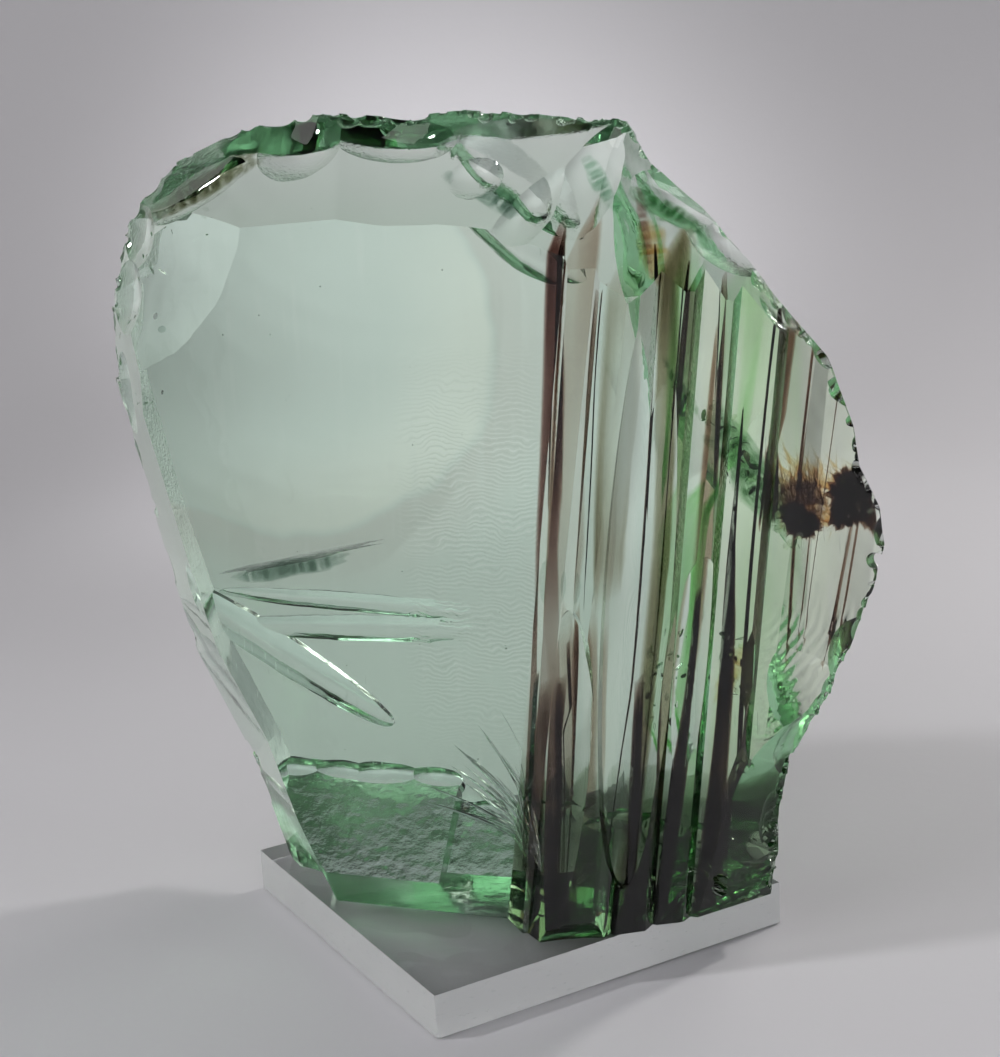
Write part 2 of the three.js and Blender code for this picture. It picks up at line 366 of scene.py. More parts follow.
def solid(name, points, faces):
    """A closed mesh whose faces carry the number of this cut, turned right side out."""
    global cut_count
    cut_count += 1
    points = np.asarray(points, float)
    fans = [(face[0], face[k], face[k + 1]) for face in faces for k in range(1, len(face) - 1)]
    a, b, c = (points[list(corner)] for corner in zip(*fans))
    if np.einsum("ij,ij", a, np.cross(b, c)) < 0:
        faces = [tuple(reversed(face)) for face in faces]
    mesh = bpy.data.meshes.new(name)
    mesh.from_pydata(points.tolist(), [], faces)
    mark = mesh.attributes.new("cut", "INT", "FACE")
    mark.data.foreach_set("value", [cut_count] * len(mesh.polygons))
    thing = bpy.data.objects.new(name, mesh)
    scene.collection.objects.link(thing)
    return thing


def loft(name, rings):
    """Skins a stack of rings with the same number of points and caps both ends."""
    count = len(rings[0])
    faces = []
    for r in range(len(rings) - 1):
        for i in range(count):
            a, b = r * count + i, r * count + (i + 1) % count
            faces += [(a, b, b + count), (a, b + count, a + count)]
    last = (len(rings) - 1) * count
    faces.append(tuple(reversed(range(count))))
    faces.append(tuple(range(last, last + count)))
    return solid(name, [p for ring in rings for p in ring], faces)


def spindle(name, points, sides):
    """Skins a stack of rings between two tips, which are the first point and the last."""
    end = len(points) - 1
    faces = [(0, 1 + k, 1 + (k + 1) % sides) for k in range(sides)]
    for ring in range((end - 1) // sides - 1):
        for k in range(sides):
            a, b = 1 + ring * sides + k, 1 + ring * sides + (k + 1) % sides
            faces.append((a, a + sides, b + sides, b))
    first = end - sides
    faces += [(end, first + (k + 1) % sides, first + k) for k in range(sides)]
    return solid(name, points, faces)


def slab(name, first, second):
    """A closed layer between two grids of points, sewn together round their edge."""
    rows, columns = first.shape[:2]
    count = rows * columns
    faces = []
    for i in range(rows - 1):
        for j in range(columns - 1):
            a, b = i * columns + j, i * columns + j + 1
            c, d = b + columns, a + columns
            faces.append((a, b, c, d))
            faces.append((d + count, c + count, b + count, a + count))
    loop = list(range(columns)) + [i * columns + columns - 1 for i in range(1, rows)]
    loop += [(rows - 1) * columns + j for j in range(columns - 2, -1, -1)]
    loop += [i * columns for i in range(rows - 2, 0, -1)]
    for a, b in zip(loop, loop[1:] + loop[:1]):
        faces.append((b, a, a + count, b + count))
    return solid(name, np.concatenate([first.reshape(-1, 3), second.reshape(-1, 3)]), faces)


def spun(x, z, degrees):
    """Turns a place on a surface about the surface's outward direction."""
    turn = math.radians(degrees)
    return x * math.cos(turn) + z * math.sin(turn), z * math.cos(turn) - x * math.sin(turn)


def to_world(thing, name):
    """Turns a mesh in the stone's millimetres into the shared frame, and names it."""
    thing.data.transform(Matrix.Rotation(STONE_TURN, 4, "Z") @ Matrix.Scale(MM, 4))
    thing.name = name
    thing.data.name = name
    return thing


def axes_of(out):
    """A right-handed frame on a surface: sideways, outwards, and as near to upright as can be."""
    out = Vector(out).normalized()
    guide = Vector((0, 1, 0)) if abs(out.z) > 0.999 else Vector((0, 0, 1))
    upright = (guide - out * out.dot(guide)).normalized()
    return out.cross(upright), out, upright


def plane_block(through, out):
    """Everything on the outer side of the plane through three points."""
    a, b, c = (Vector(p) for p in through)
    normal = (b - a).cross(c - a).normalized()
    if normal.dot(Vector(out)) < 0:
        normal.negate()
    side, normal, upright = axes_of(normal)
    reach = 2 * FAR
    corners = [
        a + side * x * reach + upright * z * reach + normal * y
        for y in (0.0, FAR) for x, z in ((-1, -1), (1, -1), (1, 1), (-1, 1))
    ]
    return loft("facet", [corners[:4], corners[4:]])


def carve(thing, cutters, operation="DIFFERENCE"):
    """Takes all the cutters from the thing at once, with one Boolean modifier on their collection."""
    group = bpy.data.collections.new("cutters")
    scene.collection.children.link(group)
    for cutter in cutters:
        group.objects.link(cutter)
    step = thing.modifiers.new("cut", "BOOLEAN")
    step.solver = "MANIFOLD"
    step.operand_type = "COLLECTION"
    step.operation = operation
    step.collection = group
    graph = bpy.context.evaluated_depsgraph_get()
    mesh = bpy.data.meshes.new_from_object(thing.evaluated_get(graph))
    thing.modifiers.clear()
    old = thing.data
    thing.data = mesh
    bpy.data.meshes.remove(old)
    for cutter in cutters:
        used = cutter.data
        bpy.data.objects.remove(cutter)
        bpy.data.meshes.remove(used)
    bpy.data.collections.remove(group)
    return thing

# %% [markdown]
# ## Bowls with ripples
#
# The scar of a flake isn't a plain bowl. The crack leaves ripples, like those of a stone thrown into
# water, around the point where the blow fell, and fine radial cracks near the scar's edge. They are
# real relief here, and not only bump, because in clear glass they bend everything that is seen through.

# %% The bowl cutter
BOWL_REACH = 1.3
BOWL_LID = 30.0
BOWL_SPACING = 1.6
RIPPLE_HEIGHT = 0.018
RAY_HEIGHT = 0.004


def bowl(at, out, half, depth, spin=0, ripple=1.0, grow=0.0, seed=0):
    """The cutter for one flake: its middle, outward direction, half width and height, and depth."""
    chance = np.random.default_rng(seed)
    wide, high = half[0] + grow, half[1] + grow
    depth = depth + grow
    fine = min(wide, high)
    rings = int(np.clip(BOWL_REACH * max(wide, high), 7, 44)) if ripple else 5
    sides = int(np.clip(2 * math.pi * max(wide, high) / BOWL_SPACING, 22, 150)) if ripple else 22
    hit = chance.uniform(0, 2 * math.pi)
    hit_x, hit_z = 0.95 * wide * math.cos(hit), 0.95 * high * math.sin(hit)
    wave = max(1.5, 0.16 * fine)
    swing = ripple * RIPPLE_HEIGHT * wave
    rays = chance.integers(9, 17)
    phase = chance.uniform(0, 6.28, 4)
    a = np.linspace(0, 2 * math.pi, sides, endpoint=False)
    share = BOWL_REACH * np.arange(1, rings + 1)[:, None] / rings
    x, z = wide * share * np.cos(a), high * share * np.sin(a)
    away = np.hypot(x - hit_x, z - hit_z)
    relief = swing * np.sin(away * 2 * math.pi / wave + phase[0])
    relief *= 0.6 + 0.4 * np.sin(3 * a + phase[1])
    relief += ripple * RAY_HEIGHT * fine * share**3 * np.sin(rays * a + phase[2])
    y = depth * (share * share - 1) + relief
    lid = np.full(sides, BOWL_LID)
    x = np.concatenate(([0], x.ravel(), x[-1]))
    y = np.concatenate(([-depth], y.ravel(), lid))
    z = np.concatenate(([0], z.ravel(), z[-1]))
    x, z = spun(x, z, spin)
    points = np.array(at) + np.stack([x, y, z], 1) @ np.array(axes_of(out))
    faces = [(0, 1 + (k + 1) % sides, 1 + k) for k in range(sides)]
    for ring in range(rings):
        first = 1 + ring * sides
        for k in range(sides):
            n = (k + 1) % sides
            faces.append((first + k, first + n, first + sides + n, first + sides + k))
    last = 1 + rings * sides
    faces.append(tuple(range(last, last + sides)))
    return solid("flake", points, faces)

# %% [markdown]
# ## The blank, the steps and the flakes
#
# These are the numbers of the CAD model, in the same words: the rim's outline, the steps of the streaked
# side, the flat facets and the flakes. `margin` draws every surface in by the same amount, which gives a
# slightly smaller stone that the streaks are later fitted into.

# %% The stone's own numbers
OUTLINE = [
    # across, up, depth of the rim, and how much of its reach is left at the very back
    (-88, 128, -8, 0.96), (-87, 148, -8, 0.93), (-81, 165, -7, 0.86), (-70, 177, -4, 0.74),
    (-54, 185, 1, 0.8), (-37, 187, 4, 0.84), (-17, 185, 5, 0.86), (-2, 186, 6, 0.86),
    (27, 183.5, 6, 0.84), (34, 183, 4, 0.8), (41, 175, -3, 0.66), (52, 167, -6, 0.68),
    (61.5, 156, -7, 0.7), (69, 146, -8, 0.72), (78.5, 135, -8, 0.76), (83.5, 120, -7, 0.8),
    (84.5, 111, -6, 0.82), (88.5, 102, -5, 0.82), (89.5, 94, -5, 0.82), (87, 84, -5, 0.82),
    (82, 70, -5, 0.8), (76, 57, -4, 0.78), (68, 42, -3, 0.76), (65, 29, -2, 0.76),
    (65, 20, -2, 0.76), (59, -8, -2, 0.76), (48, -34, -3, 0.76), (0, -50, -4, 0.76),
    (-32, -40, -5, 0.8), (-46, -10, -7, 0.88), (-54, 12, -8, 0.94), (-61, 36, -8, 0.96),
    (-73.5, 62, -8, 0.97), (-78, 80, -8, 0.97), (-83, 104, -8, 0.97),
]
HEART = (0, 95)
SIDE_REACH = 60
FRONT_SHARE = 0.37
FACE_TILT = 3
BACK_DEPTH = 22
FACE_DEPTH = -27
FACE_TOP_DEPTH = FACE_DEPTH + (STONE_TOP - FOOT) * math.tan(math.radians(FACE_TILT))
STEPS = [
    ((-140, FACE_DEPTH), (-140, FACE_TOP_DEPTH)),
    ((8, FACE_DEPTH), (27, FACE_TOP_DEPTH)),
    ((14, -33), (31, -18)),
    ((21, -38), (38, -16.5)),
    ((30, -34.5), (46.5, -17)),
    ((33, -29), (49.5, -13)),
    ((40, -26), (57, -14.5)),
    ((40.8, -22.5), (58, -11)),
    ((47, -20), (64.5, -11.5)),
    ((48, -17), (65.5, -9)),
    ((56, -16.5), (74, -9)),
    ((57.2, -13), (75.5, -6)),
    ((66, -10), (84, -4)),
    ((78, -6), (97, -1)),
    ((140, 4), (160, 6)),
]
FACETS = [
    (((-59, -19.4, 163), (-12, -18.9, 166.4), (-30, 1.5, 184)), (0, -1, 1)),
    (((-12, -18.9, 166.4), (14, -19, 162.5), (6, 1, 183.5)), (0, -1, 1)),
    (((10, -19, 163.5), (42.7, -21, 149.5), (33, 2, 180)), (0, -1, 1)),
    (((42.7, -21, 149.5), (57, -13, 161), (41, -12, 181)), (0.2, -1, 0.2)),
    (((0, BACK_DEPTH, 20), (50, BACK_DEPTH - 2, 20), (0, BACK_DEPTH, 150)), (0, 1, 0)),
    (((-60, 22, 165), (30, 22, 173), (0, 12, 184)), (0, 1, 1)),
    (((-13, BACK_DEPTH, 22.5), (60, BACK_DEPTH, 20), (20, 5, FOOT)), (0, 1, -1)),
    (((40, 22, 100), (74, 6, 100), (40, 20, 40)), (1, 1, 0)),
]
UNDERCUT_EDGE = -13
UNDERCUT_TOP = 29
UNDERCUT_FOOT_DEPTH = -6
FLAKES = [
    # middle, the way it faces, half width and height, depth, then its turn and its ripples if any
    # top left corner: the shallow scar on the face, the long dark flake, the bright ones
    ((-75, -15.5, 166), (-0.12, -1, 0.1), (29, 27.5), 3, 0, 0.6),
    ((-62, -9, 172), (-0.2, -0.7, 0.7), (19, 7), 3, 40),
    ((-76, -12, 161), (-0.5, -0.7, 0.4), (7, 10), 2.4, 30),
    ((-79, -13, 148), (-0.6, -0.75, 0.2), (6, 8), 2.2),
    ((-82, -12, 124), (-0.73, -0.68, 0), (4, 9), 1.4),
    # along the top rim
    ((-38, -3, 180), (-0.1, -0.65, 0.75), (11, 11), 3.6, 25),
    ((-15, -2, 181), (0, -0.6, 0.8), (16, 8), 4.2, -6),
    ((4, -9, 174), (0.1, -0.7, 0.7), (8, 8), 2.6),
    ((18, -14, 166.5), (0.2, -0.75, 0.65), (5, 15), 2, -35),
    ((28, -5, 173), (0.26, -0.76, 0.6), (6, 14), 1.6, -20),
    ((22, 5, 186), (0.1, 0.3, 1), (12, 7), 2),
    ((-44, 7, 186), (-0.2, 0.4, 1), (14, 7), 2.2),
    ((37, 0, 181), (0.6, -0.3, 0.8), (7, 9), 2.5),
    ((45, -5, 168), (0.45, -0.65, 0.6), (13, 6), 3.6, -42),
    ((57, -6, 158), (0.5, -0.6, 0.6), (9, 6), 2.6, -48),
    # down the right rim
    ((71, -9, 143), (0.6, -0.7, 0.4), (12, 4), 2, -52),
    ((81, -8, 127), (0.8, -0.6, 0.2), (4, 9), 1.8, 15),
    ((85, -6, 112), (0.9, -0.4, 0.1), (4, 5), 1.8),
    ((90, -5, 99), (0.9, -0.5, 0), (4, 6), 1.8),
    ((86, -6, 82), (0.8, -0.6, -0.2), (5, 7), 2),
    ((71, -11, 64), (0.35, -0.93, -0.05), (12, 20), 3.4, 18),
    ((80, -6, 70), (0.75, -0.65, -0.1), (6, 9), 1.6, 24),
    ((68, -6, 46), (0.9, -0.4, -0.2), (6, 8), 2.2),
    ((64, -6, 28), (0.9, -0.5, 0), (5, 9), 2),
    # the long hollow between two steps, and the splinters beside it
    ((41.5, -21.5, 88), (0.12, -1, 0.03), (6, 52), 2.6, -5.5),
    ((50, -19, 60), (0.25, -1, 0.1), (5, 26), 1.8, -7),
    ((24, -33, 40), (-0.1, -1, 0.2), (6, 34), 2.4, -3),
    # the foot
    ((60, -14, 14), (0.5, -0.7, -0.5), (8, 6), 3),
    ((32, -35, 12), (0.2, -0.8, -0.6), (15, 7), 3),
    ((12, -33, 18), (-0.7, -0.6, 0.1), (7, 11), 2.4),
    ((-42, -20, 15), (-0.5, -0.5, -0.6), (9, 7), 3),
    ((-66, -21, 80), (-0.7, -0.7, 0), (4, 7), 2),
    # the back: great shallow scars, and smaller flakes off its edges
    ((-52, 22, 142), (0, 1, 0), (56, 56), 4, 0, 0.25),
    ((44, 20, 132), (0.3, 1, 0.1), (34, 44), 5, 0, 0.5),
    ((-60, 22.2, 58.5), (0.1, 1, 0.1), (27, 3.8), 1.5, 30, 0.4),
    ((-33, 22.3, 65), (0, 1, 0), (34, 2.4), 0.6, -2, 0.3),
    ((-34, 22.3, 71), (0, 1, 0), (30, 1.8), 0.5, 2, 0.3),
    ((4, 20, 157), (0.35, 0.8, 0.5), (5, 15), 2.2, -38),
    # the broken edge between the back and its undercut
    ((-56, 21, 28), (0, 0.75, -0.6), (7, 3.2), 1.4),
    ((-44, 21, 28.5), (0.1, 0.75, -0.6), (8, 2.6), 1.2),
    ((-31, 21, 28.5), (-0.1, 0.75, -0.6), (9, 3.4), 1.6),
    ((-20, 21, 29), (0.1, 0.75, -0.6), (6, 2.6), 1.2),
    ((0, 21, 22), (0, 0.75, -0.6), (9, 3), 1.4),
    ((22, 20, 21), (0, 0.75, -0.6), (11, 3), 1.4),
    ((44, 16, 20), (0.3, 0.75, -0.6), (10, 4), 1.8),
]

# %% The blank and the front, with a margin
def front_depth(across, up):
    """How deep the stepped front lies at a place, before the flakes."""
    share = (up - FOOT) / (STONE_TOP - FOOT)
    places = [a[0] + (b[0] - a[0]) * share for a, b in STEPS]
    depths = [a[1] + (b[1] - a[1]) * share for a, b in STEPS]
    return float(np.interp(across, places, depths))


def rim_ring(shares, depths, margin):
    """The outline drawn towards the heart of the stone by a share at each of its points."""
    ring = []
    for (across, up, _, _), share, depth in zip(OUTLINE, shares, depths):
        reach = math.hypot(across - HEART[0], up - HEART[1])
        scale = share * (1 - margin / reach)
        ring.append((HEART[0] + (across - HEART[0]) * scale, depth,
                     HEART[1] + (up - HEART[1]) * scale))
    return ring


def blank(margin=0.0):
    count = len(OUTLINE)
    front = rim_ring([FRONT_SHARE] * count, [-SIDE_REACH] * count, margin)
    rim = rim_ring([1.0] * count, [point[2] for point in OUTLINE], margin)
    back = rim_ring([point[3] for point in OUTLINE], [SIDE_REACH] * count, margin)
    return loft("crystal", [front, rim, back])


def front_block(margin=0.0):
    def ring(level, up):
        edge = [(step[level][0], step[level][1] + margin, up) for step in STEPS]
        return edge + [(150, -2 * FAR, up), (-140, -2 * FAR, up)]

    foot, top = ring(0, FOOT), ring(1, STONE_TOP)

    def past(share):
        return [tuple(p + (q - p) * share for p, q in zip(a, b)) for a, b in zip(foot, top)]

    return loft("front", [past(-0.2), past(1.1)])


def undercut(margin=0.0):
    """The foot falls away towards the back on the left, at a flatter angle than on the right."""
    slope = (UNDERCUT_TOP - FOOT) / (BACK_DEPTH - UNDERCUT_FOOT_DEPTH)
    depths = (UNDERCUT_FOOT_DEPTH - 30, FAR)
    heights = [UNDERCUT_TOP + margin * 1.2 + (d - BACK_DEPTH) * slope for d in depths]
    rings = []
    for across in (-2 * FAR, UNDERCUT_EDGE + margin):
        rings.append([(across, depths[0], heights[0]), (across, depths[1], heights[1]),
                      (across, depths[1], -FAR), (across, depths[0], -FAR)])
    return loft("undercut", rings)


def rough_out(margin=0.0):
    """The blank with the steps, the foot and the flat facets cut."""
    foot_cut = FOOT + margin
    foot_plane = ((0, 0, foot_cut), (10, 0, foot_cut), (0, 10, foot_cut))
    cutters = [front_block(margin), plane_block(foot_plane, (0, 0, -1)), undercut(margin)]
    for through, out in FACETS:
        inward = -Vector(out).normalized() * margin
        cutters.append(plane_block([Vector(p) + inward for p in through], out))
    return carve(blank(margin), cutters)


crystal = rough_out()
print("roughed out:", len(crystal.data.polygons), "faces")

# %% [markdown]
# ## Small flakes along the rim
#
# The rim was knocked about more than the faces, so it is fringed with small chips. They are strewn along
# the outline with a seeded random generator, so that every run gives the same stone. They are cut before
# the big bowls, while the mesh is still small, because a Boolean takes longer the more faces it meets.

# %% Chip the rim
def rim_point(share):
    """A point of the outline at a share of its length from the left, clockwise, and the way out."""
    points = [Vector((p[0], p[2], p[1])) for p in OUTLINE]
    lengths = [(points[(k + 1) % len(points)] - p).length for k, p in enumerate(points)]
    left = share * sum(lengths)
    for k, length in enumerate(lengths):
        if left <= length:
            a, b = points[k], points[(k + 1) % len(points)]
            along = (b - a).normalized()
            return a + along * left, Vector((-along.z, 0, along.x))
        left -= length
    return points[0], Vector((-1, 0, 0))


def chips(count, low, high, seed, sizes=(1.6, 4.2)):
    """Small bowls strewn along one stretch of the rim, on its front and its back."""
    chance = np.random.default_rng(seed)
    made = []
    for number in range(count):
        place, out = rim_point(chance.uniform(low, high))
        if place.z < FOOT + 2:
            continue
        size = chance.uniform(*sizes)
        front = chance.uniform(-1, 0.8)
        lean = Vector((out.x, 1.1 * front, out.z)) + Vector(chance.normal(0, 0.25, 3))
        lean.normalize()
        made.append(bowl(
            at=place - out * chance.uniform(0.2, 1.6) + Vector((0, front * size * 0.7, 0)),
            out=lean, half=(size, size * chance.uniform(0.6, 1.5)),
            depth=size * chance.uniform(0.22, 0.4), spin=chance.uniform(-90, 90),
            ripple=1.4, seed=1000 + seed + number,
        ))
    return made


chip_cutters = chips(50, 0.0, 0.32, 11, (1.4, 3.6)) + chips(60, 0.32, 0.66, 12, (1.2, 2.8))
chip_cutters += chips(16, 0.8, 1.0, 13) + chips(150, 0.0, 0.30, 21, (0.6, 1.6))
chip_cutters += chips(280, 0.30, 0.68, 22, (0.6, 1.5))
carve(crystal, chip_cutters)
print("chipped:", len(crystal.data.polygons), "faces")

# %% Knock off the big flakes
carve(crystal, [bowl(*flake, seed=number) for number, flake in enumerate(FLAKES)])
print("flaked:", len(crystal.data.polygons), "faces")

# %% [markdown]
# ## Cracks and bubbles inside
#
# A blow that doesn't part the glass leaves a crack in it: a lens of air, thinner than a hair, that
# mirrors whatever comes at it from a flat angle. Those are the feathers beside the streaks, the green
# sliver and the glints in the corners. Each is a thin closed lens taken out of the solid, so the glass
# keeps its true optics, and a bubble is a small ball taken out in the same way.

# %% Cracks
def crack(at, out, half, thick=0.12, spin=0, curl=0.0, sides=16, ragged=0.0, seed=0):
    """A thin lens of air. curl bends it like a blade, in mm at its two ends."""
    edge = 1 + ragged * np.random.default_rng(seed).uniform(-1, 1, sides)
    axes = np.array(axes_of(out))
    rings = 3
    top, bottom = [], []
    for ring in range(rings + 1):
        share = ring / rings
        for k in range(sides if ring else 1):
            a = 2 * math.pi * k / sides
            x = half[0] * share * math.cos(a) * edge[k]
            z = half[1] * share * math.sin(a) * edge[k]
            z += curl * (x / half[0]) ** 2
            bend = 0.35 * abs(curl) * (x / half[0]) ** 2
            y = 0.5 * thick * (1 - share * share)
            x, z = spun(x, z, spin)
            top.append(np.array(at) + np.array((x, bend + y, z)) @ axes)
            bottom.append(np.array(at) + np.array((x, bend - y, z)) @ axes)
    last = 1 + (rings - 1) * sides
    points = top + bottom[:last]
    shift = len(top)

    def under(n):
        return n if n >= last else n + shift

    faces = []
    for k in range(sides):
        n = (k + 1) % sides
        faces.append((0, 1 + k, 1 + n))
        faces.append((under(0), under(1 + n), under(1 + k)))
        for ring in range(rings - 1):
            a, b = 1 + ring * sides + k, 1 + ring * sides + n
            faces.append((a, a + sides, b + sides, b))
            faces.append((under(b), under(b + sides), under(a + sides), under(a)))
    return solid("crack", points, faces)


def ball(at, radius):
    """A bubble."""
    rows, sides = 6, 10
    points = [np.array(at) + (0, 0, radius)]
    for row in range(1, rows):
        b = math.pi * row / rows
        for k in range(sides):
            a = 2 * math.pi * k / sides
            points.append(np.array(at) + radius * np.array(
                (math.sin(b) * math.cos(a), math.sin(b) * math.sin(a), math.cos(b))))
    points.append(np.array(at) - (0, 0, radius))
    return spindle("bubble", points, sides)


def glints(count, low, high, sizes, seed, out=(0, -1, 0), spread=0.6):
    """Small cracks strewn in a box, facing roughly one way."""
    chance = np.random.default_rng(seed)
    made = []
    for _ in range(count):
        size = chance.uniform(*sizes)
        lean = Vector(out) + Vector(chance.normal(0, spread, 3))
        made.append(crack(chance.uniform(low, high), lean, (size, size * chance.uniform(0.3, 1)),
                          thick=0.05, spin=chance.uniform(-90, 90), sides=8))
    return made


def strand(points, fat):
    """A fine curved hair of air, thickest in its middle, through a row of points."""
    points = np.asarray(points, float)
    count, sides = len(points), 5
    along = np.gradient(points, axis=0)
    along = along / np.linalg.norm(along, axis=1)[:, None]
    side = np.cross(along, (0, 1, 0))
    side = side / np.linalg.norm(side, axis=1)[:, None]
    other = np.cross(along, side)
    skin = [points[0]]
    for k in range(1, count - 1):
        size = fat * math.sin(math.pi * k / (count - 1)) ** 0.6
        for m in range(sides):
            a = 2 * math.pi * m / sides
            skin.append(points[k] + size * (side[k] * math.cos(a) + 2.5 * other[k] * math.sin(a)))
    skin.append(points[-1])
    return spindle("strand", skin, sides)


FEATHER_POINTS = 12
FEATHER_SINK = 1.5


def feathers(root, count, sweep, long, curl, seed, fat=(0.10, 0.28), start=(0, 2), near=1.2):
    """A fan of curved hairs that leave one place, between two angles in degrees.

    near is how far below the front face the nearest one lies.
    """
    chance = np.random.default_rng(seed)
    made = []
    for number in range(count):
        share = (number + chance.uniform(0.1, 0.9)) / count
        angle = math.radians(sweep[0] + (sweep[1] - sweep[0]) * share)
        reach, bend = chance.uniform(*long), curl * chance.uniform(0.5, 1.3)
        gap = chance.uniform(*start)
        depth = chance.uniform(0, 3)
        walk = np.linspace(0, 1, FEATHER_POINTS)
        turn = angle + bend * walk
        step = reach / (FEATHER_POINTS - 1)
        walked_x = np.concatenate([[0], np.cumsum(np.cos(turn[1:]) * step)])
        walked_z = np.concatenate([[0], np.cumsum(np.sin(turn[1:]) * step)])
        x = root[0] + gap * math.cos(angle) + walked_x
        z = root[2] + gap * math.sin(angle) + walked_z
        floor_depth = np.array([front_depth(a, b) for a, b in zip(x, z)])
        y = floor_depth + near + depth + FEATHER_SINK * walk
        made.append(strand(np.stack([x, y, z], 1), chance.uniform(*fat)))
    return made


# %% Put the air in
air = [
    # the long sliver on the broad face, and a short one beside the main streak
    crack((-41, -6, 88), (-0.15, -0.06, 1), (4.6, 17), thick=0.45, ragged=0.3, seed=44),
    crack((24, -14, 86), (0.2, -1, 0.2), (3.4, 5), thick=0.1),
]
# glints at the left rim, at the foot, and between two steps
air += glints(24, (-84, -14, 122), (-72, 4, 166), (0.3, 1.5), 31, spread=1.0)
air += glints(10, (-78, -14, 160), (-56, 4, 176), (0.3, 1.2), 38, spread=1.0)
air += glints(40, (30, -18, 14), (58, 0, 30), (0.3, 1.2), 34, spread=1.0)
air += glints(34, (38, -14, 46), (46, 2, 76), (0.4, 1.6), 39, out=(0.3, -1, 0.6), spread=0.9)
# a crackled band along the green crescent
for share in np.linspace(0, 1, 8):
    middle = np.array((55 + 15 * share, -9 + 3 * share, 123 - 27 * share))
    air += glints(11, middle - (2, 2, 3), middle + (2, 3, 3), (0.3, 1.3), 70 + int(9 * share), spread=1.1)
# specks low on the right side and at the dark blot
air += glints(40, (55, -13, 60), (60, -9, 76), (0.3, 1.2), 48, spread=1.0)
air += glints(50, (80, -4, 99), (88, 1, 109), (0.3, 1.0), 49, spread=1.0)
# two fans of hairs at the foot
air += feathers((19.5, -20, 25), 34, (96, 150), (10, 36), 0.35, 35, fat=(0.16, 0.40))
air += feathers((59, -12, 14), 22, (124, 176), (7, 15), 0.25, 36, fat=(0.22, 0.42), near=0.7)
BUBBLES = 26
chance = np.random.default_rng(37)
for _ in range(BUBBLES):
    air.append(ball(chance.uniform((-60, -18, 30), (20, 14, 165)), chance.uniform(0.10, 0.2)))
carve(crystal, air)
print("cracked:", len(crystal.data.polygons), "faces")

# %% Sharp ridges, smooth bowls
RIDGE_ANGLE = math.radians(24)


def finish_mesh(thing, name):
    """Turns the stone into the shared frame and keeps a crease wherever two cuts meet."""
    mesh = to_world(thing, name).data
    marks = np.zeros(len(mesh.polygons), int)
    mesh.attributes["cut"].data.foreach_get("value", marks)
    mesh.shade_smooth()
    sharp = [False] * len(mesh.edges)
    sides = {}
    for face in mesh.polygons:
        for key in face.edge_keys:
            sides.setdefault(key, []).append(face.index)
    for edge in mesh.edges:
        pair = sides.get(edge.key, [])
        if len(pair) == 2:
            a, b = mesh.polygons[pair[0]], mesh.polygons[pair[1]]
            bend = a.normal.angle(b.normal, 0.0)
            apart = marks[a.index] != marks[b.index] and bend > 0.02
            sharp[edge.index] = apart or bend > RIDGE_ANGLE
    crease = mesh.attributes.new("sharp_edge", "BOOLEAN", "EDGE")
    crease.data.foreach_set("value", sharp)
    mesh.attributes.remove(mesh.attributes["cut"])


finish_mesh(crystal, "crystal_glass")
mesh = crystal.data
print("triangles:", sum(len(p.vertices) - 2 for p in mesh.polygons))

# %% [markdown]
# ## Streaks in the glass
#
# The brown, olive and green bands are layers of coloured melt that were drawn out when the glass was
# poured. They are thin sheets that stand upright and run from the front to the back, so that one looks
# at them nearly along their plane: where a sheet lines up with the line of sight it is a dark line, and
# where it doesn't it is a see-through band. A painted colour on the surface could not do that. Each
# sheet is a closed skin whose thickness varies, filled with absorption, and clipped to a slightly
# smaller stone so that it stays inside the glass.

# %% Smooth random fields
def field(seed, *axes, waves=14, low=0.5, high=3.0):
    """A smooth random function of its axes between about -1 and 1, as a sum of waves."""
    chance = np.random.default_rng(seed)
    total = 0.0
    for _ in range(waves):
        pace = chance.uniform(low, high, len(axes)) * chance.choice([-1, 1], len(axes))
        total = total + np.sin(sum(a * p for a, p in zip(axes, pace)) + chance.uniform(0, 6.28))
    return total / math.sqrt(waves / 2) / 1.6

# %% Where a line of sight goes inside the glass
GLASS_INDEX = 1.51
camera_place = Matrix.Rotation(-STONE_TURN, 4, "Z") @ (CAMERA_PLACE / MM)


def sight_slope(across, up):
    """How far the camera's view slides sideways for each mm that it goes into the glass."""
    depth = front_depth(across, up)
    rise = front_depth(across + 0.3, up) - front_depth(across - 0.3, up)
    normal = Vector((rise / 0.6, -1, 0)).normalized()
    ray = (Vector((across, depth, up)) - camera_place).normalized()
    facing = -ray.dot(normal)
    if facing < 0.15:
        return -0.2
    bent = math.sqrt(1 - (1 - facing * facing) / GLASS_INDEX**2)
    inside = ray / GLASS_INDEX + normal * (facing / GLASS_INDEX - bent)
    return inside.x / inside.y

# %% A sheet of coloured melt
SHEET_BACK = 26.0
SHEET_ROWS = 46
SHEET_COLUMNS = 60
SHEET_LEVELS = (40, 95, 150)
SHEET_FADE = 9.0


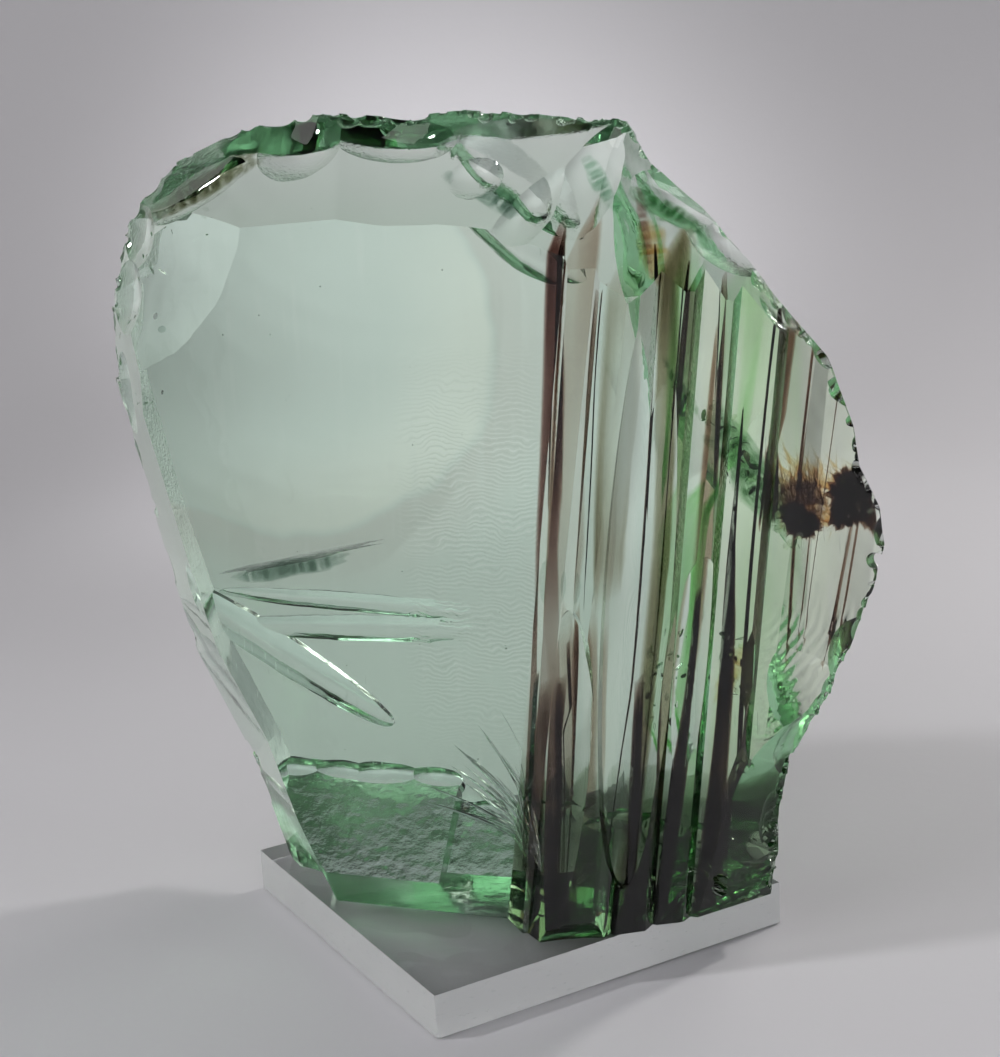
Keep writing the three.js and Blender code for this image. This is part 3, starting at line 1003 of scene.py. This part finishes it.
def sheet(name, at, width, thick, rows=(-10, 170), wobble=0.4, fine=1.0, fill=0.3, seed=0,
          reach=0.5, pane=0.5):
    """A coloured layer. at says where its front edge stands, across, and width how broad it looks.

    Both are given at three heights, SHEET_LEVELS. thick is the layer's real thickness, and fill how
    much of it is left in its thinnest streaks. reach is how far towards the back it goes, and pane
    which part of its width the line of sight is taken at.
    """
    ups = np.linspace(rows[0], rows[1], SHEET_ROWS)
    share = np.linspace(0, 1, SHEET_COLUMNS)
    grid_up = np.meshgrid(ups, share, indexing="ij")[0]
    lean = np.polynomial.Polynomial.fit(SHEET_LEVELS, at, 2)
    edge = lean(ups) + wobble * field(seed + 1, ups / 30)
    front = np.array([front_depth(a, z) for a, z in zip(edge, ups)])
    broad = np.interp(ups, SHEET_LEVELS, width)
    start = front - 3
    stop = front + (SHEET_BACK - front) * reach
    depth = start[:, None] + (stop - start)[:, None] * share
    sight = np.array([sight_slope(a + w * pane, z) for a, w, z in zip(edge, broad, ups)])
    slope = sight + broad / (stop - front)
    across = edge[:, None] + slope[:, None] * (depth - front[:, None])
    across = across + 0.3 * wobble * field(seed + 2, grid_up / 35, depth / 9)
    streaky = 0.5 + 0.5 * field(seed + 3, grid_up / 120, depth / 2.2 * fine)
    streaky = fill + (1 - fill) * np.clip(streaky, 0, 1)
    cloudy = np.clip(0.7 + 0.35 * field(seed + 4, grid_up / 26, depth / 14), 0.2, 1)
    ends = np.minimum(grid_up - rows[0], rows[1] - grid_up) / SHEET_FADE
    half = 0.5 * thick * streaky * cloudy * np.clip(ends, 0, 1) + 0.01
    left = np.stack([across - half, depth, grid_up], -1)
    right = np.stack([across + half, depth, grid_up], -1)
    return slab(name, left, right)


def melt(name, colour, density):
    """Coloured glass with no boundary of its own: light goes straight in and is only absorbed."""
    material, tree = new_material(name)
    skin = add_node(
        tree, "ShaderNodeBsdfPrincipled", Base_Color=rgb(1, 1, 1), Roughness=0.0, IOR=1.0,
        Transmission_Weight=1.0,
    )
    soak = add_node(tree, "ShaderNodeVolumeAbsorption", Color=rgb(*colour), Density=density)
    close_material(tree, skin, soak)
    return material


MELTS = {
    # name: the colour that gets through, and how strong it is
    "red_brown": ((0.44, 0.18, 0.12), 1500.0),
    "brown": ((0.34, 0.17, 0.06), 4200.0),
    "rust": ((0.52, 0.28, 0.12), 1400.0),
    "olive": ((0.46, 0.40, 0.16), 700.0),
    "green": ((0.30, 0.78, 0.22), 200.0),
    "pale_green": ((0.34, 0.84, 0.20), 110.0),
    "tan": ((0.62, 0.45, 0.33), 520.0),
    "taupe": ((0.58, 0.52, 0.38), 480.0),
    "blot": ((0.42, 0.20, 0.03), 2600.0),
    "amber": ((0.86, 0.60, 0.10), 1500.0),
    "fern": ((0.16, 0.46, 0.18), 1900.0),
    "fern_pale": ((0.30, 0.62, 0.42), 1000.0),
    "slate": ((0.36, 0.52, 0.44), 1700.0),
    "painted_shade_grey": ((0.26, 0.34, 0.28), 8.0),
    # The next two melts fill the foot's layers of painted shade.
    "painted_shade_green": ((0.18, 0.32, 0.10), 66.0),
    "moss": ((0.34, 0.36, 0.16), 2600.0),
}
melts = {name: melt(f"melt_{name}", *values) for name, values in MELTS.items()}
STREAKS = [
    # name, melt, and its shape, from the left of the streaked side to the right
    ("main", "red_brown", dict(at=(14.0, 17.8, 22.2), width=(5.5, 2.2, 2.6), thick=1.5,
        rows=(-10, 165), fill=0.6, reach=0.18, pane=0.2)),
    ("core", "brown", dict(at=(15.5, 18.0, 22.0), width=(5.0, 3.0, 3.0), thick=1.2, rows=(-10, 66),
        fill=0.25, reach=0.25)),
    ("edge", "brown", dict(at=(20.0, 21.5, 24.4), width=(0.5, 0.5, 0.5), thick=0.4, rows=(104, 165),
        wobble=0.2, reach=0.15)),
    ("pink", "tan", dict(at=(19.5, 21.0, 25.4), width=(2, 8.0, 6.5), thick=1.4, rows=(78, 168),
        fill=0.4, reach=0.35)),
    ("brown_low", "tan", dict(at=(21.2, 20.6, 22.0), width=(4.0, 6.0, 6.0), thick=1.8, rows=(16, 80),
        fill=0.5, reach=0.3)),
    ("tan_low", "tan", dict(at=(25.6, 28.0, 33.0), width=(6.4, 4.0, 3.0), thick=1.8, rows=(16, 82),
        fill=0.4, reach=0.35)),
    ("line", "brown", dict(at=(25.2, 26.0, 28.0), width=(0.6, 0.4, 0.4), thick=0.4, rows=(10, 76),
        wobble=0.5, reach=0.15)),
    ("ragged", "brown", dict(at=(29.0, 31.4, 34.4), width=(0.9, 1.0, 0.9), thick=0.6, wobble=0.8,
        rows=(84, 150), reach=0.15)),
    ("taupe", "taupe", dict(at=(31.0, 32.6, 35.2), width=(1.5, 4.2, 7.6), thick=1.8, rows=(84, 156),
        fill=0.6, reach=0.3)),
    ("black_1", "brown", dict(at=(35.2, 40.8, 45.4), width=(1.2, 0.5, 0.5), thick=0.7, wobble=0.15,
        reach=0.12)),
    ("olive", "olive", dict(at=(35.6, 41.2, 45.4), width=(8.0, 9.0, 5.0), thick=2.4, fill=0.6,
        reach=0.28)),
    ("olive_low", "brown", dict(at=(36.5, 39.0, 42.0), width=(5.0, 3.0, 3.0), thick=1.1,
        rows=(-10, 66), fill=0.2, reach=0.25)),
    ("green_1", "green", dict(at=(41.0, 44.8, 48.6), width=(1.5, 1.5, 4.0), thick=2.6, rows=(104, 160),
        fill=0.5, reach=0.3)),
    ("black_2", "brown", dict(at=(39.8, 45.6, 50.7), width=(0.6, 0.4, 0.4), thick=0.4, wobble=0.2,
        reach=0.1)),
    ("fawn", "tan", dict(at=(46.5, 51.8, 57.1), width=(2.2, 2.6, 1.2), thick=2.0, rows=(62, 142),
        fill=0.6, reach=0.2)),
    ("black_3", "brown", dict(at=(44.9, 52.6, 60.0), width=(3.0, 1.2, 0.5), thick=1.6, wobble=0.2,
        rows=(-10, 86), fill=0.6, reach=0.15)),
    ("thread_0", "brown", dict(at=(52.2, 55.0, 57.7), width=(0.3, 0.3, 0.35), thick=0.4, wobble=0.2,
        rows=(108, 152), reach=0.15)),
    ("green_2", "green", dict(at=(46.6, 53.4, 58.2), width=(5.6, 5.0, 10.0), thick=2.2, fill=0.5,
        reach=0.5)),
    ("black_4", "brown", dict(at=(51.9, 58.5, 63.2), width=(4.4, 0.6, 0.4), thick=1.6, wobble=0.2,
        rows=(-10, 124), fill=0.5, reach=0.18)),
    ("black_5", "brown", dict(at=(58.2, 62.6, 69.2), width=(1.4, 0.4, 0.5), thick=0.5, wobble=0.3,
        reach=0.2)),
    ("rust", "rust", dict(at=(60.0, 63.8, 70.8), width=(2, 3.6, 3.2), thick=1.0, rows=(98, 170),
        fill=0.4, reach=0.3)),
    ("thread_1", "rust", dict(at=(65.3, 70.7, 76.0), width=(0.4, 0.5, 1.0), thick=0.5, reach=0.2,
        rows=(66, 150))),
    ("thread_2", "rust", dict(at=(67.8, 75.5, 83.2), width=(0.4, 0.4, 0.4), thick=0.3, reach=0.2,
        rows=(70, 130))),
    ("thread_3", "rust", dict(at=(66.6, 73.8, 80.0), width=(0.3, 0.3, 0.3), thick=0.3, reach=0.2,
        rows=(70, 98))),
    ("thread_4", "rust", dict(at=(71.6, 81.8, 91.0), width=(0.6, 0.8, 0.8), thick=0.3, reach=0.3,
        rows=(66, 104))),
    ("thread_5", "rust", dict(at=(73.6, 83.0, 92.4), width=(0.6, 0.9, 0.8), thick=0.4, reach=0.3,
        rows=(70, 106))),
    ("pale", "pale_green", dict(at=(50.0, 58.0, 62.0), width=(26, 28, 20), thick=2.2, fine=0.5,
        fill=0.6, reach=0.9)),
]

# %% [markdown]
# ## Smears, painted shade in the foot and a lump that never melted
#
# Some colour isn't in sheets. Under the flakes lie short lenses of coloured melt, and the foot is
# darkened by two layers of absorption that are painted shade, grey on the left and green on the right.
# At the right rim sits a lump of dark stuff that never melted, with a brush of short fibres drawn out of
# it. All of them are closed skins filled with absorption, like the sheets, so they darken with their
# real thickness.

# %% A smear of colour under a flake, and the layers of painted shade in the foot
def smear(at, out, half, thick, spin=0, seed=0, below=None):
    """A lens of coloured melt, streaked along its length.

    With below, it lies that deep under the front face and follows it, whatever depth at has.
    """
    rings, sides = 16, 56
    share = np.arange(1, rings + 1)[:, None] / rings
    a = np.linspace(0, 2 * math.pi, sides, endpoint=False)[None, :]
    edge = 1 + 0.12 * field(seed + 5, np.cos(a) * 3, np.sin(a) * 3)
    x, z = half[0] * share * np.cos(a) * edge, half[1] * share * np.sin(a) * edge
    strength = 0.55 + 0.45 * field(seed, x / 9, z * 2.2)
    y = 0.5 * thick * (1 - share**2 * 0.94) * np.clip(strength, 0.08, 1)
    x, z = spun(x, z, spin)
    flat = np.stack([x, y, z], -1).reshape(-1, 3)
    axes = np.array(axes_of(out))
    upper = np.concatenate([[(0, 0.5 * thick, 0)], flat]) @ axes + np.array(at)
    lower = np.concatenate([[(0, -0.5 * thick, 0)], flat * (1, -1, 1)]) @ axes + np.array(at)
    if below is not None:
        for skin in (upper, lower):
            skin[:, 1] += [front_depth(a, b) + below - at[1] for a, b in skin[:, [0, 2]]]
    count = len(upper)
    faces = []
    for k in range(sides):
        n = (k + 1) % sides
        faces.append((0, 1 + k, 1 + n))
        faces.append((count, count + 1 + n, count + 1 + k))
        for ring in range(rings - 1):
            p, q = 1 + ring * sides + k, 1 + ring * sides + n
            faces.append((p, p + sides, q + sides, q))
            faces.append((count + q, count + q + sides, count + p + sides, count + p))
        p, q = 1 + (rings - 1) * sides + k, 1 + (rings - 1) * sides + n
        faces.append((p, count + p, count + q, q))
    return solid("smear", np.concatenate([upper, lower]), faces)


def foot_shade_layer(from_across, to_across, top, seed):
    """A layer of absorption in the foot, with a wavy top, that is painted shade."""
    across = np.linspace(from_across, to_across, 26)
    depth = np.linspace(-44, 30, 20)
    grid_across, grid_depth = np.meshgrid(across, depth, indexing="ij")
    up = top + 2.2 * field(seed, grid_across / 9, grid_depth / 8)
    high = np.stack([grid_across, grid_depth, up], -1)
    return slab("foot_shade_layer", high, high * (1, 1, 0))

# %% The dark blot at the rim
def rough_ball(at, size, seed):
    rows, sides = 26, 40
    b = np.linspace(0, math.pi, rows + 1)[1:-1, None]
    a = np.linspace(0, 2 * math.pi, sides, endpoint=False)[None, :]
    x, y, z = np.sin(b) * np.cos(a), np.sin(b) * np.sin(a), np.cos(b) + 0 * a
    rough = 1 + 0.24 * field(seed, x * 4, y * 4, z * 4)
    rough = rough + 0.2 * field(seed + 9, x * 12, y * 12, z * 12)
    skin = np.stack([x * rough * size[0], y * rough * size[1], z * rough * size[2]], -1)
    points = np.concatenate([[(0, 0, size[2])], skin.reshape(-1, 3), [(0, 0, -size[2])]])
    return spindle("blot", points + np.array(at), sides)


def fibres(count, low, high, long, fat, seed, way=(-1, 0, 0.1), spread=0.4):
    """Short tapered hairs strewn in a box, all going roughly one way."""
    chance = np.random.default_rng(seed)
    made = []
    for _ in range(count):
        root = chance.uniform(low, high)
        line = np.array(way) + chance.normal(0, spread, 3)
        line = line / np.linalg.norm(line)
        side = np.cross(line, (0, 1, 0.1))
        side = side / np.linalg.norm(side)
        other = np.cross(line, side)
        size = chance.uniform(*fat)
        foot = [root + size * (side * math.cos(a) + other * math.sin(a)) for a in (0, 2.1, 4.2)]
        tip = root + line * chance.uniform(*long)
        made.append(solid("fibre", foot + [tip], [(0, 2, 1), (0, 1, 3), (1, 2, 3), (2, 0, 3)]))
    return made


def blot():
    """A lump of unmelted dark stuff with a frayed edge: rough lumps and a brush of short fibres."""
    lumps = [
        rough_ball((71.2, 0, 97.6), (3.6, 5, 2.6), 5), rough_ball((68.6, 1, 99.4), (2.2, 4, 2.6), 6),
        rough_ball((82.0, -1, 104.0), (4.4, 5, 5.2), 7), rough_ball((79.6, 0, 100.6), (2.2, 5, 3.4), 8),
        rough_ball((64.8, 0, 107.0), (0.9, 4, 8.0), 9), rough_ball((87.0, -1, 101.0), (3.6, 4, 4.6), 10),
    ]
    lumps += fibres(170, (66, -5, 100), (76, 5, 107), (3, 8), (0.15, 0.5), 41, (-0.2, 0, 1.0), 0.35)
    lumps += fibres(150, (78, -4, 98), (86, 4, 109), (2, 6), (0.15, 0.5), 42, (-1, 0, 0.2), 0.6)
    return carve(lumps[0], lumps[1:], "UNION")

# %% Clip the streaks to the stone
STREAK_COVER = 1.0


def inner_stone():
    stone = rough_out(STREAK_COVER)
    return carve(stone, [bowl(*flake[:5], ripple=0, grow=STREAK_COVER) for flake in FLAKES])


def settle(layer, name, colour):
    """Clips a coloured layer to the inner stone, and puts it in its place in the shared frame."""
    copy = limit.copy()
    copy.data = limit.data.copy()
    scene.collection.objects.link(copy)
    carve(layer, [copy], "INTERSECT")
    to_world(layer, name)
    layer.data.materials.clear()
    layer.data.materials.append(melts[colour])
    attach(layer, "root")
    print(name, len(layer.data.polygons), "faces")


limit = inner_stone()
for number, (name, colour, shape) in enumerate(STREAKS):
    settle(sheet(f"streak_{name}", seed=50 * number, **shape), f"streak_{name}", colour)
settle(blot(), "dark_blot", "blot")
FACE_ON = (0, -1, 0)
settle(smear((71.0, 0, 101.6), FACE_ON, (5.2, 7.0), 2.0, 0, 75), "blot_veil", "blot")
amber = fibres(260, (67, -6, 97), (85, 6, 110), (3, 9), (0.3, 0.8), 43, (-0.5, 0, 0.7), 0.5)
settle(carve(amber[0], amber[1:], "UNION"), "amber_fringe", "amber")
settle(smear((62.5, 0, 110), FACE_ON, (4.4, 17), 2.4, 30, 66, 2.6), "green_crescent", "fern")
settle(smear((49.5, 0, 129.5), FACE_ON, (0.9, 8), 1.2, 26, 67, 2.2), "crescent_tail", "fern")
settle(smear((-41, 0, 88), FACE_ON, (2.1, 15), 2.6, -78, 72, 3.0), "dark_sliver", "slate")
settle(smear((57.8, 0, 67), FACE_ON, (2.2, 8), 1.4, -26, 69, 2.0), "amber_glow", "amber")
FLAKE_SMEAR = 1.8
TOP_FLAKES = {
    # name: middle, way it faces, half width and length, turn, melt
    "corner_smear": ((-61.4, -3.2, 171.2), (-0.05, -0.88, 0.47), (4.2, 15), -60, "moss"),
    "top_wedge": ((9.6, -11.1, 168.0), (0.1, -0.7, 0.71), (2.6, 15.5), 57, "slate"),
    "top_right_wedge": ((30.1, -2.3, 169.8), (0.06, -0.76, 0.64), (2.2, 10), 30, "fern_pale"),
    "top_right_chip": ((44.0, -1.7, 163.2), (0.42, -0.59, 0.68), (3.2, 10), 46, "fern"),
}
for number, (name, (at, out, half, spin, colour)) in enumerate(TOP_FLAKES.items()):
    settle(smear(at, out, half, FLAKE_SMEAR, spin, 80 + number), name, colour)
UP_RIGHT = (0.26, -0.76, 0.6)
settle(smear((40.5, -8, 161), UP_RIGHT, (1.2, 12), 1.4, 4, 62), "facet_streak", "red_brown")
settle(smear((42.5, -9, 156), UP_RIGHT, (3.5, 8), 1.6, 4, 63), "facet_amber", "amber")
# Painted shade: two absorbing layers darken the foot, grey on the left and green on the right.
settle(foot_shade_layer(-80, 12.5, 30, 64), "foot_painted_shade_grey", "painted_shade_grey")
settle(foot_shade_layer(13.5, 90, 34, 65), "foot_painted_shade_green", "painted_shade_green")
bpy.data.objects.remove(limit)

# %% [markdown]
# ## The glass and its broken skin
#
# The stone is plain clear glass: one index of refraction and one faint green absorption, so that a
# thicker part is greener by itself. Its skin carries what a break leaves on glass, in base colour and
# bump: ripples where the crack slowed down, a sawn-looking frost on the faces that look down, and a few
# scratches and pits. Its base colour also carries painted light: a pale patch with a soft edge is a
# painted highlight with a ring of painted shade round it, and the bright and dark lines along the
# ripples are painted highlights and painted shade. They are worked out in the stone's own millimetres,
# so they sit where the break put them.

# %% The stone's skin
def stone_place(tree):
    """Where a point is, and where its face looks, in the stone's own millimetres."""
    place = add_node(tree, "ShaderNodeTexCoord", out="Object")
    facing = add_node(tree, "ShaderNodeNewGeometry", out="True Normal")
    inside = add_node(tree, "ShaderNodeNewGeometry", out="Backfacing")
    facing = add_node(
        tree, "ShaderNodeVectorMath", {"operation": "SCALE"}, Vector=facing, Scale=1 - inside * 2
    )
    turned = [
        add_node(tree, "ShaderNodeVectorRotate", {"rotation_type": "Z_AXIS"}, Vector=each,
                 Angle=-STONE_TURN)
        for each in (place, facing)
    ]
    return vector(tree, "MULTIPLY", turned[0], (1 / MM, 1 / MM, 1 / MM)), turned[1]


def distance_from(tree, across, up, centre, stretch=(1.0, 1.0)):
    """How far a point is from a place on the front face, in mm."""
    x = (across - centre[0]) * (1 / stretch[0])
    z = (up - centre[1]) * (1 / stretch[1])
    return (x * x + z * z) ** 0.5


# The pale patch is a painted highlight on the broad face, with a ring of painted shade just outside it.
PATCH_CENTRE = (-40.0, 140.0)
PATCH_STRETCH = (1.0, 0.84)
PATCH_RADIUS = 50.0
WAVE_SPACING = 1.05
SCOOP_CENTRE = (62.0, 84.0)
SCOOP_STRETCH = (1.0, 1.3)
SCOOP_SPACING = 1.9
GLASS_TINT = rgb(0.42, 0.90, 0.52)
GLASS_STRENGTH = 8.0

glass, tree = new_material("crystal_glass")
place, facing = stone_place(tree)
across, depth, up = split(tree, place)
out_depth, out_up = split(tree, facing)[1:]
front = (out_depth * -1).band(0.80, 0.95) * (depth * -1).band(1.0, 5.0)
under = (out_up * -1).band(0.12, 0.30) * (1 - across.band(2.0, 16.0))
broken = (1 - maths(tree, "ABSOLUTE", out_depth).band(0.35, 0.75)) * up.band(60.0, 110.0)
wander = noise(tree, place, (0.05, 0.05, 0.05))
far = distance_from(tree, across, up, PATCH_CENTRE, PATCH_STRETCH) + (wander - 0.5) * 8
# Mask of the painted highlight: the inside of the pale patch, with its soft edge.
painted_light_patch = 1 - far.band(PATCH_RADIUS - 1, PATCH_RADIUS + 2)
crescent = far.band(22.0, 47.0) * painted_light_patch * (across + (140 - up) * 0.9).band(-46.0, 10.0)
painted_shade_ring = far.band(50.5, 52.5) * (1 - far.band(53.0, 74.0))
streaky = noise(tree, place, (0.5, 0.05, 0.03))
wave_push = noise(tree, place, (0.12, 0.05, 0.10)) * 7 + noise(tree, place, (0.6, 0.2, 0.5)) * 0.8
waves = ((up + wave_push) * (2 * math.pi / WAVE_SPACING)).maths("SINE")
wave_zone = across.band(-16.0, -4.0) * (1 - across.band(16.0, 22.0))
wave_zone = wave_zone * up.band(40.0, 74.0) * (1 - up.band(112.0, 146.0)) * front
wave_zone = wave_zone * noise(tree, place, (0.10, 0.05, 0.16)).band(0.30, 0.48)
# Painted highlight inside the patch, then painted shade in the ring round it.
tint = mix(tree, crescent * front, rgb(0.71, 0.80, 0.77), rgb(0.98, 1.0, 0.93))
tint = mix(tree, painted_shade_ring * front, tint, rgb(0.70, 0.685, 0.665))
tint = mix(tree, (1 - front) * (1 - under), tint, rgb(0.99, 1.0, 0.99))
tint = mix(tree, across.band(47.0, 56.0) * front, tint, rgb(0.88, 1.0, 0.74))
tint = mix(tree, streaky.band(0.52, 0.72) * front * 0.25, tint, rgb(0.86, 0.90, 0.88))
# Painted shade and painted highlight: dark and white lines along the ripples of the broad face.
tint = mix(tree, wave_zone * waves.band(0.35, 1.0) * 0.5, tint, rgb(0.50, 0.53, 0.51))
tint = mix(tree, wave_zone * (waves * -1).band(0.70, 1.0) * 0.8, tint, rgb(1.0, 1.0, 1.0))
frost = noise(tree, place, (1.6, 1.6, 1.6), detail=4.0, rough=0.7)
tint = mix(tree, under * frost.band(0.35, 0.7) * 0.5, tint, rgb(0.78, 0.84, 0.81))
scratch = noise(tree, place, (3.4, 1.0, 0.10), detail=1.0).band(0.70, 0.76)
scratch = scratch * noise(tree, place, (0.06, 0.06, 0.06)).band(0.50, 0.60) * front
scoop = distance_from(tree, across, up, SCOOP_CENTRE, SCOOP_STRETCH) + wander * 6
scoop_push = scoop + noise(tree, place, (0.3, 0.1, 0.3)) * 1.2
ripples = (scoop_push * (2 * math.pi / SCOOP_SPACING)).maths("SINE")
scoop_zone = across.band(60.0, 68.0) * up.band(40.0, 48.0) * (1 - up.band(72.0, 84.0)) * front
scoop_zone = scoop_zone * scoop.band(6.0, 10.0)
# Painted shade: dark lines along the ripples of the scoop.
tint = mix(tree, scoop_zone * ripples.band(0.5, 1.0) * 0.45, tint, rgb(0.60, 0.66, 0.55))
pits = noise(tree, place, (1.9, 1.9, 1.9), detail=0.0).band(0.86, 0.90)
tint = mix(tree, (scratch + pits * front) * 0.4, tint, rgb(0.72, 0.76, 0.74))
relief = waves * wave_zone * 0.009 + ripples * scoop_zone * 0.05
relief = relief + noise(tree, place, (0.07, 0.07, 0.05)) * 0.22
relief = relief + frost * under * 0.015
relief = relief + noise(tree, place, (0.30, 0.30, 0.22), detail=3.0) * under * 0.16
relief = relief + noise(tree, place, (0.9, 0.9, 0.9), detail=3.0, rough=0.6) * broken * 0.35
relief = relief - (scratch + pits) * 0.010
skin = add_node(tree, "ShaderNodeBump", Height=relief, Strength=1.0, Distance=MM)
body = add_node(
    tree, "ShaderNodeBsdfPrincipled", Base_Color=tint, Roughness=0.0, IOR=GLASS_INDEX,
    Transmission_Weight=1.0, Normal=skin,
)
soak = add_node(tree, "ShaderNodeVolumeAbsorption", Color=GLASS_TINT, Density=GLASS_STRENGTH)
close_material(tree, body, soak)
crystal.data.materials.clear()
crystal.data.materials.append(glass)
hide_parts("crystal")
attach(crystal, "root")
print("glass:", len(tree.nodes), "nodes in the material")

# %% [markdown]
# ## The stand
#
# A square of clear acrylic sheet. Its two faces keep the sheet's polish. Its edges were sawn and then
# sanded, so they are matt, and light that gets into the plate leaves through them: that is why an
# acrylic edge looks brighter than its face. The corners are eased, and one of them is bruised.

# %% The plate
EASE = 0.35
BRUISE = 1.6
ACRYLIC_INDEX = 1.49
SAWN_ROUGHNESS = 0.22
SAWN_CLEAR = 0.5


def make_plate():
    """The stand's square with eased edges, and a bruise on the corner nearest the viewer."""
    solid_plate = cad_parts["stand"]
    plate = bpy.data.objects.new("stand_plate", solid_plate.data.copy())
    scene.collection.objects.link(plate)
    plate.matrix_world = solid_plate.matrix_world
    corners = [plate.matrix_world @ point.co for point in plate.data.vertices]
    nearest = min(corners, key=lambda point: (point - scene.camera.location).length + point.z)
    plate.data.transform(plate.matrix_world)
    plate.matrix_world = Matrix.Identity(4)
    ease = plate.modifiers.new("ease", "BEVEL")
    ease.width = EASE * MM
    ease.segments = 2
    ease.limit_method = "ANGLE"
    nick = bpy.data.meshes.new("nick")
    sphere = bmesh.new()
    bmesh.ops.create_icosphere(sphere, subdivisions=3, radius=BRUISE * MM)
    outward = Vector((nearest.x, nearest.y, 0)).normalized()
    for point in sphere.verts:
        rough = 1 + 0.12 * math.sin(9000 * point.co.x) * math.cos(7000 * point.co.z)
        point.co = point.co * rough + nearest + outward * 0.6 * BRUISE * MM
    sphere.to_mesh(nick)
    sphere.free()
    tool = bpy.data.objects.new("nick", nick)
    scene.collection.objects.link(tool)
    bruise = plate.modifiers.new("bruise", "BOOLEAN")
    bruise.operation = "DIFFERENCE"
    bruise.object = tool
    bpy.context.view_layer.update()
    final = bpy.data.meshes.new_from_object(
        plate.evaluated_get(bpy.context.evaluated_depsgraph_get()))
    plate.modifiers.clear()
    plate.data = final
    bpy.data.objects.remove(tool)
    return plate


def acrylic(name, roughness, clear, relief_of, tint):
    """Clear acrylic with a surface relief, in mm, and a base colour. clear is 1 where it is polished."""
    material, tree = new_material(name)
    place = vector(tree, "MULTIPLY", add_node(tree, "ShaderNodeTexCoord", out="Object"),
                   (1 / MM, 1 / MM, 1 / MM))
    colour, relief = relief_of(tree, place, tint)
    skin = add_node(tree, "ShaderNodeBump", Height=relief, Strength=1.0, Distance=MM)
    body = add_node(
        tree, "ShaderNodeBsdfPrincipled", Base_Color=colour, Roughness=roughness, IOR=ACRYLIC_INDEX,
        Transmission_Weight=clear, Normal=skin,
    )
    close_material(tree, body)
    return material


def polished(tree, place, tint):
    hairlines = noise(tree, place, (0.25, 4.0, 1.0), detail=1.0).band(0.68, 0.74)
    dust = noise(tree, place, (2.2, 2.2, 2.2), detail=1.0).band(0.74, 0.78)
    worn = noise(tree, place, (0.04, 0.04, 0.04)).band(0.42, 0.60)
    colour = mix(tree, (hairlines * worn + dust) * 0.35, tint, rgb(0.80, 0.81, 0.82))
    return colour, noise(tree, place, (0.05, 0.05, 0.05)) * 0.05 - hairlines * worn * 0.004


def sawn(tree, place, tint):
    lines = noise(tree, place, (0.06, 0.06, 5.0), detail=2.0)
    nicks = noise(tree, place, (0.5, 0.5, 1.6), detail=3.0).band(0.66, 0.70)
    colour = mix(tree, nicks * 0.5 + lines * 0.2, tint, rgb(0.86, 0.88, 0.89))
    return colour, lines * 0.010 - nicks * 0.05


plate = make_plate()
plate.data.materials.clear()
plate.data.materials.append(
    acrylic("acrylic_polished", 0.0, 1.0, polished, rgb(0.985, 0.99, 0.99)))
plate.data.materials.append(
    acrylic("acrylic_sawn", SAWN_ROUGHNESS, SAWN_CLEAR, sawn, rgb(0.99, 1.0, 1.0)))
for face in plate.data.polygons:
    face.material_index = 0 if abs(face.normal.z) > 0.95 else 1
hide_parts("stand")
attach(plate, "root")
print("plate:", len(plate.data.polygons), "faces")

# %% [markdown]
# ## How far light is followed
#
# A line of sight through this stone crosses its front, each coloured layer twice, and its back. With too
# few bounces it would run out on the way and come back black, so light is followed a long way through
# glass, and only briefly from one matt surface to the next.

# %% Bounces
GLASS_BOUNCES = 24
scene.cycles.max_bounces = GLASS_BOUNCES
scene.cycles.transmission_bounces = GLASS_BOUNCES
scene.cycles.diffuse_bounces = 2
scene.cycles.glossy_bounces = 12
scene.cycles.transparent_max_bounces = 16
scene.cycles.use_light_tree = False
print("bounces through glass:", GLASS_BOUNCES)
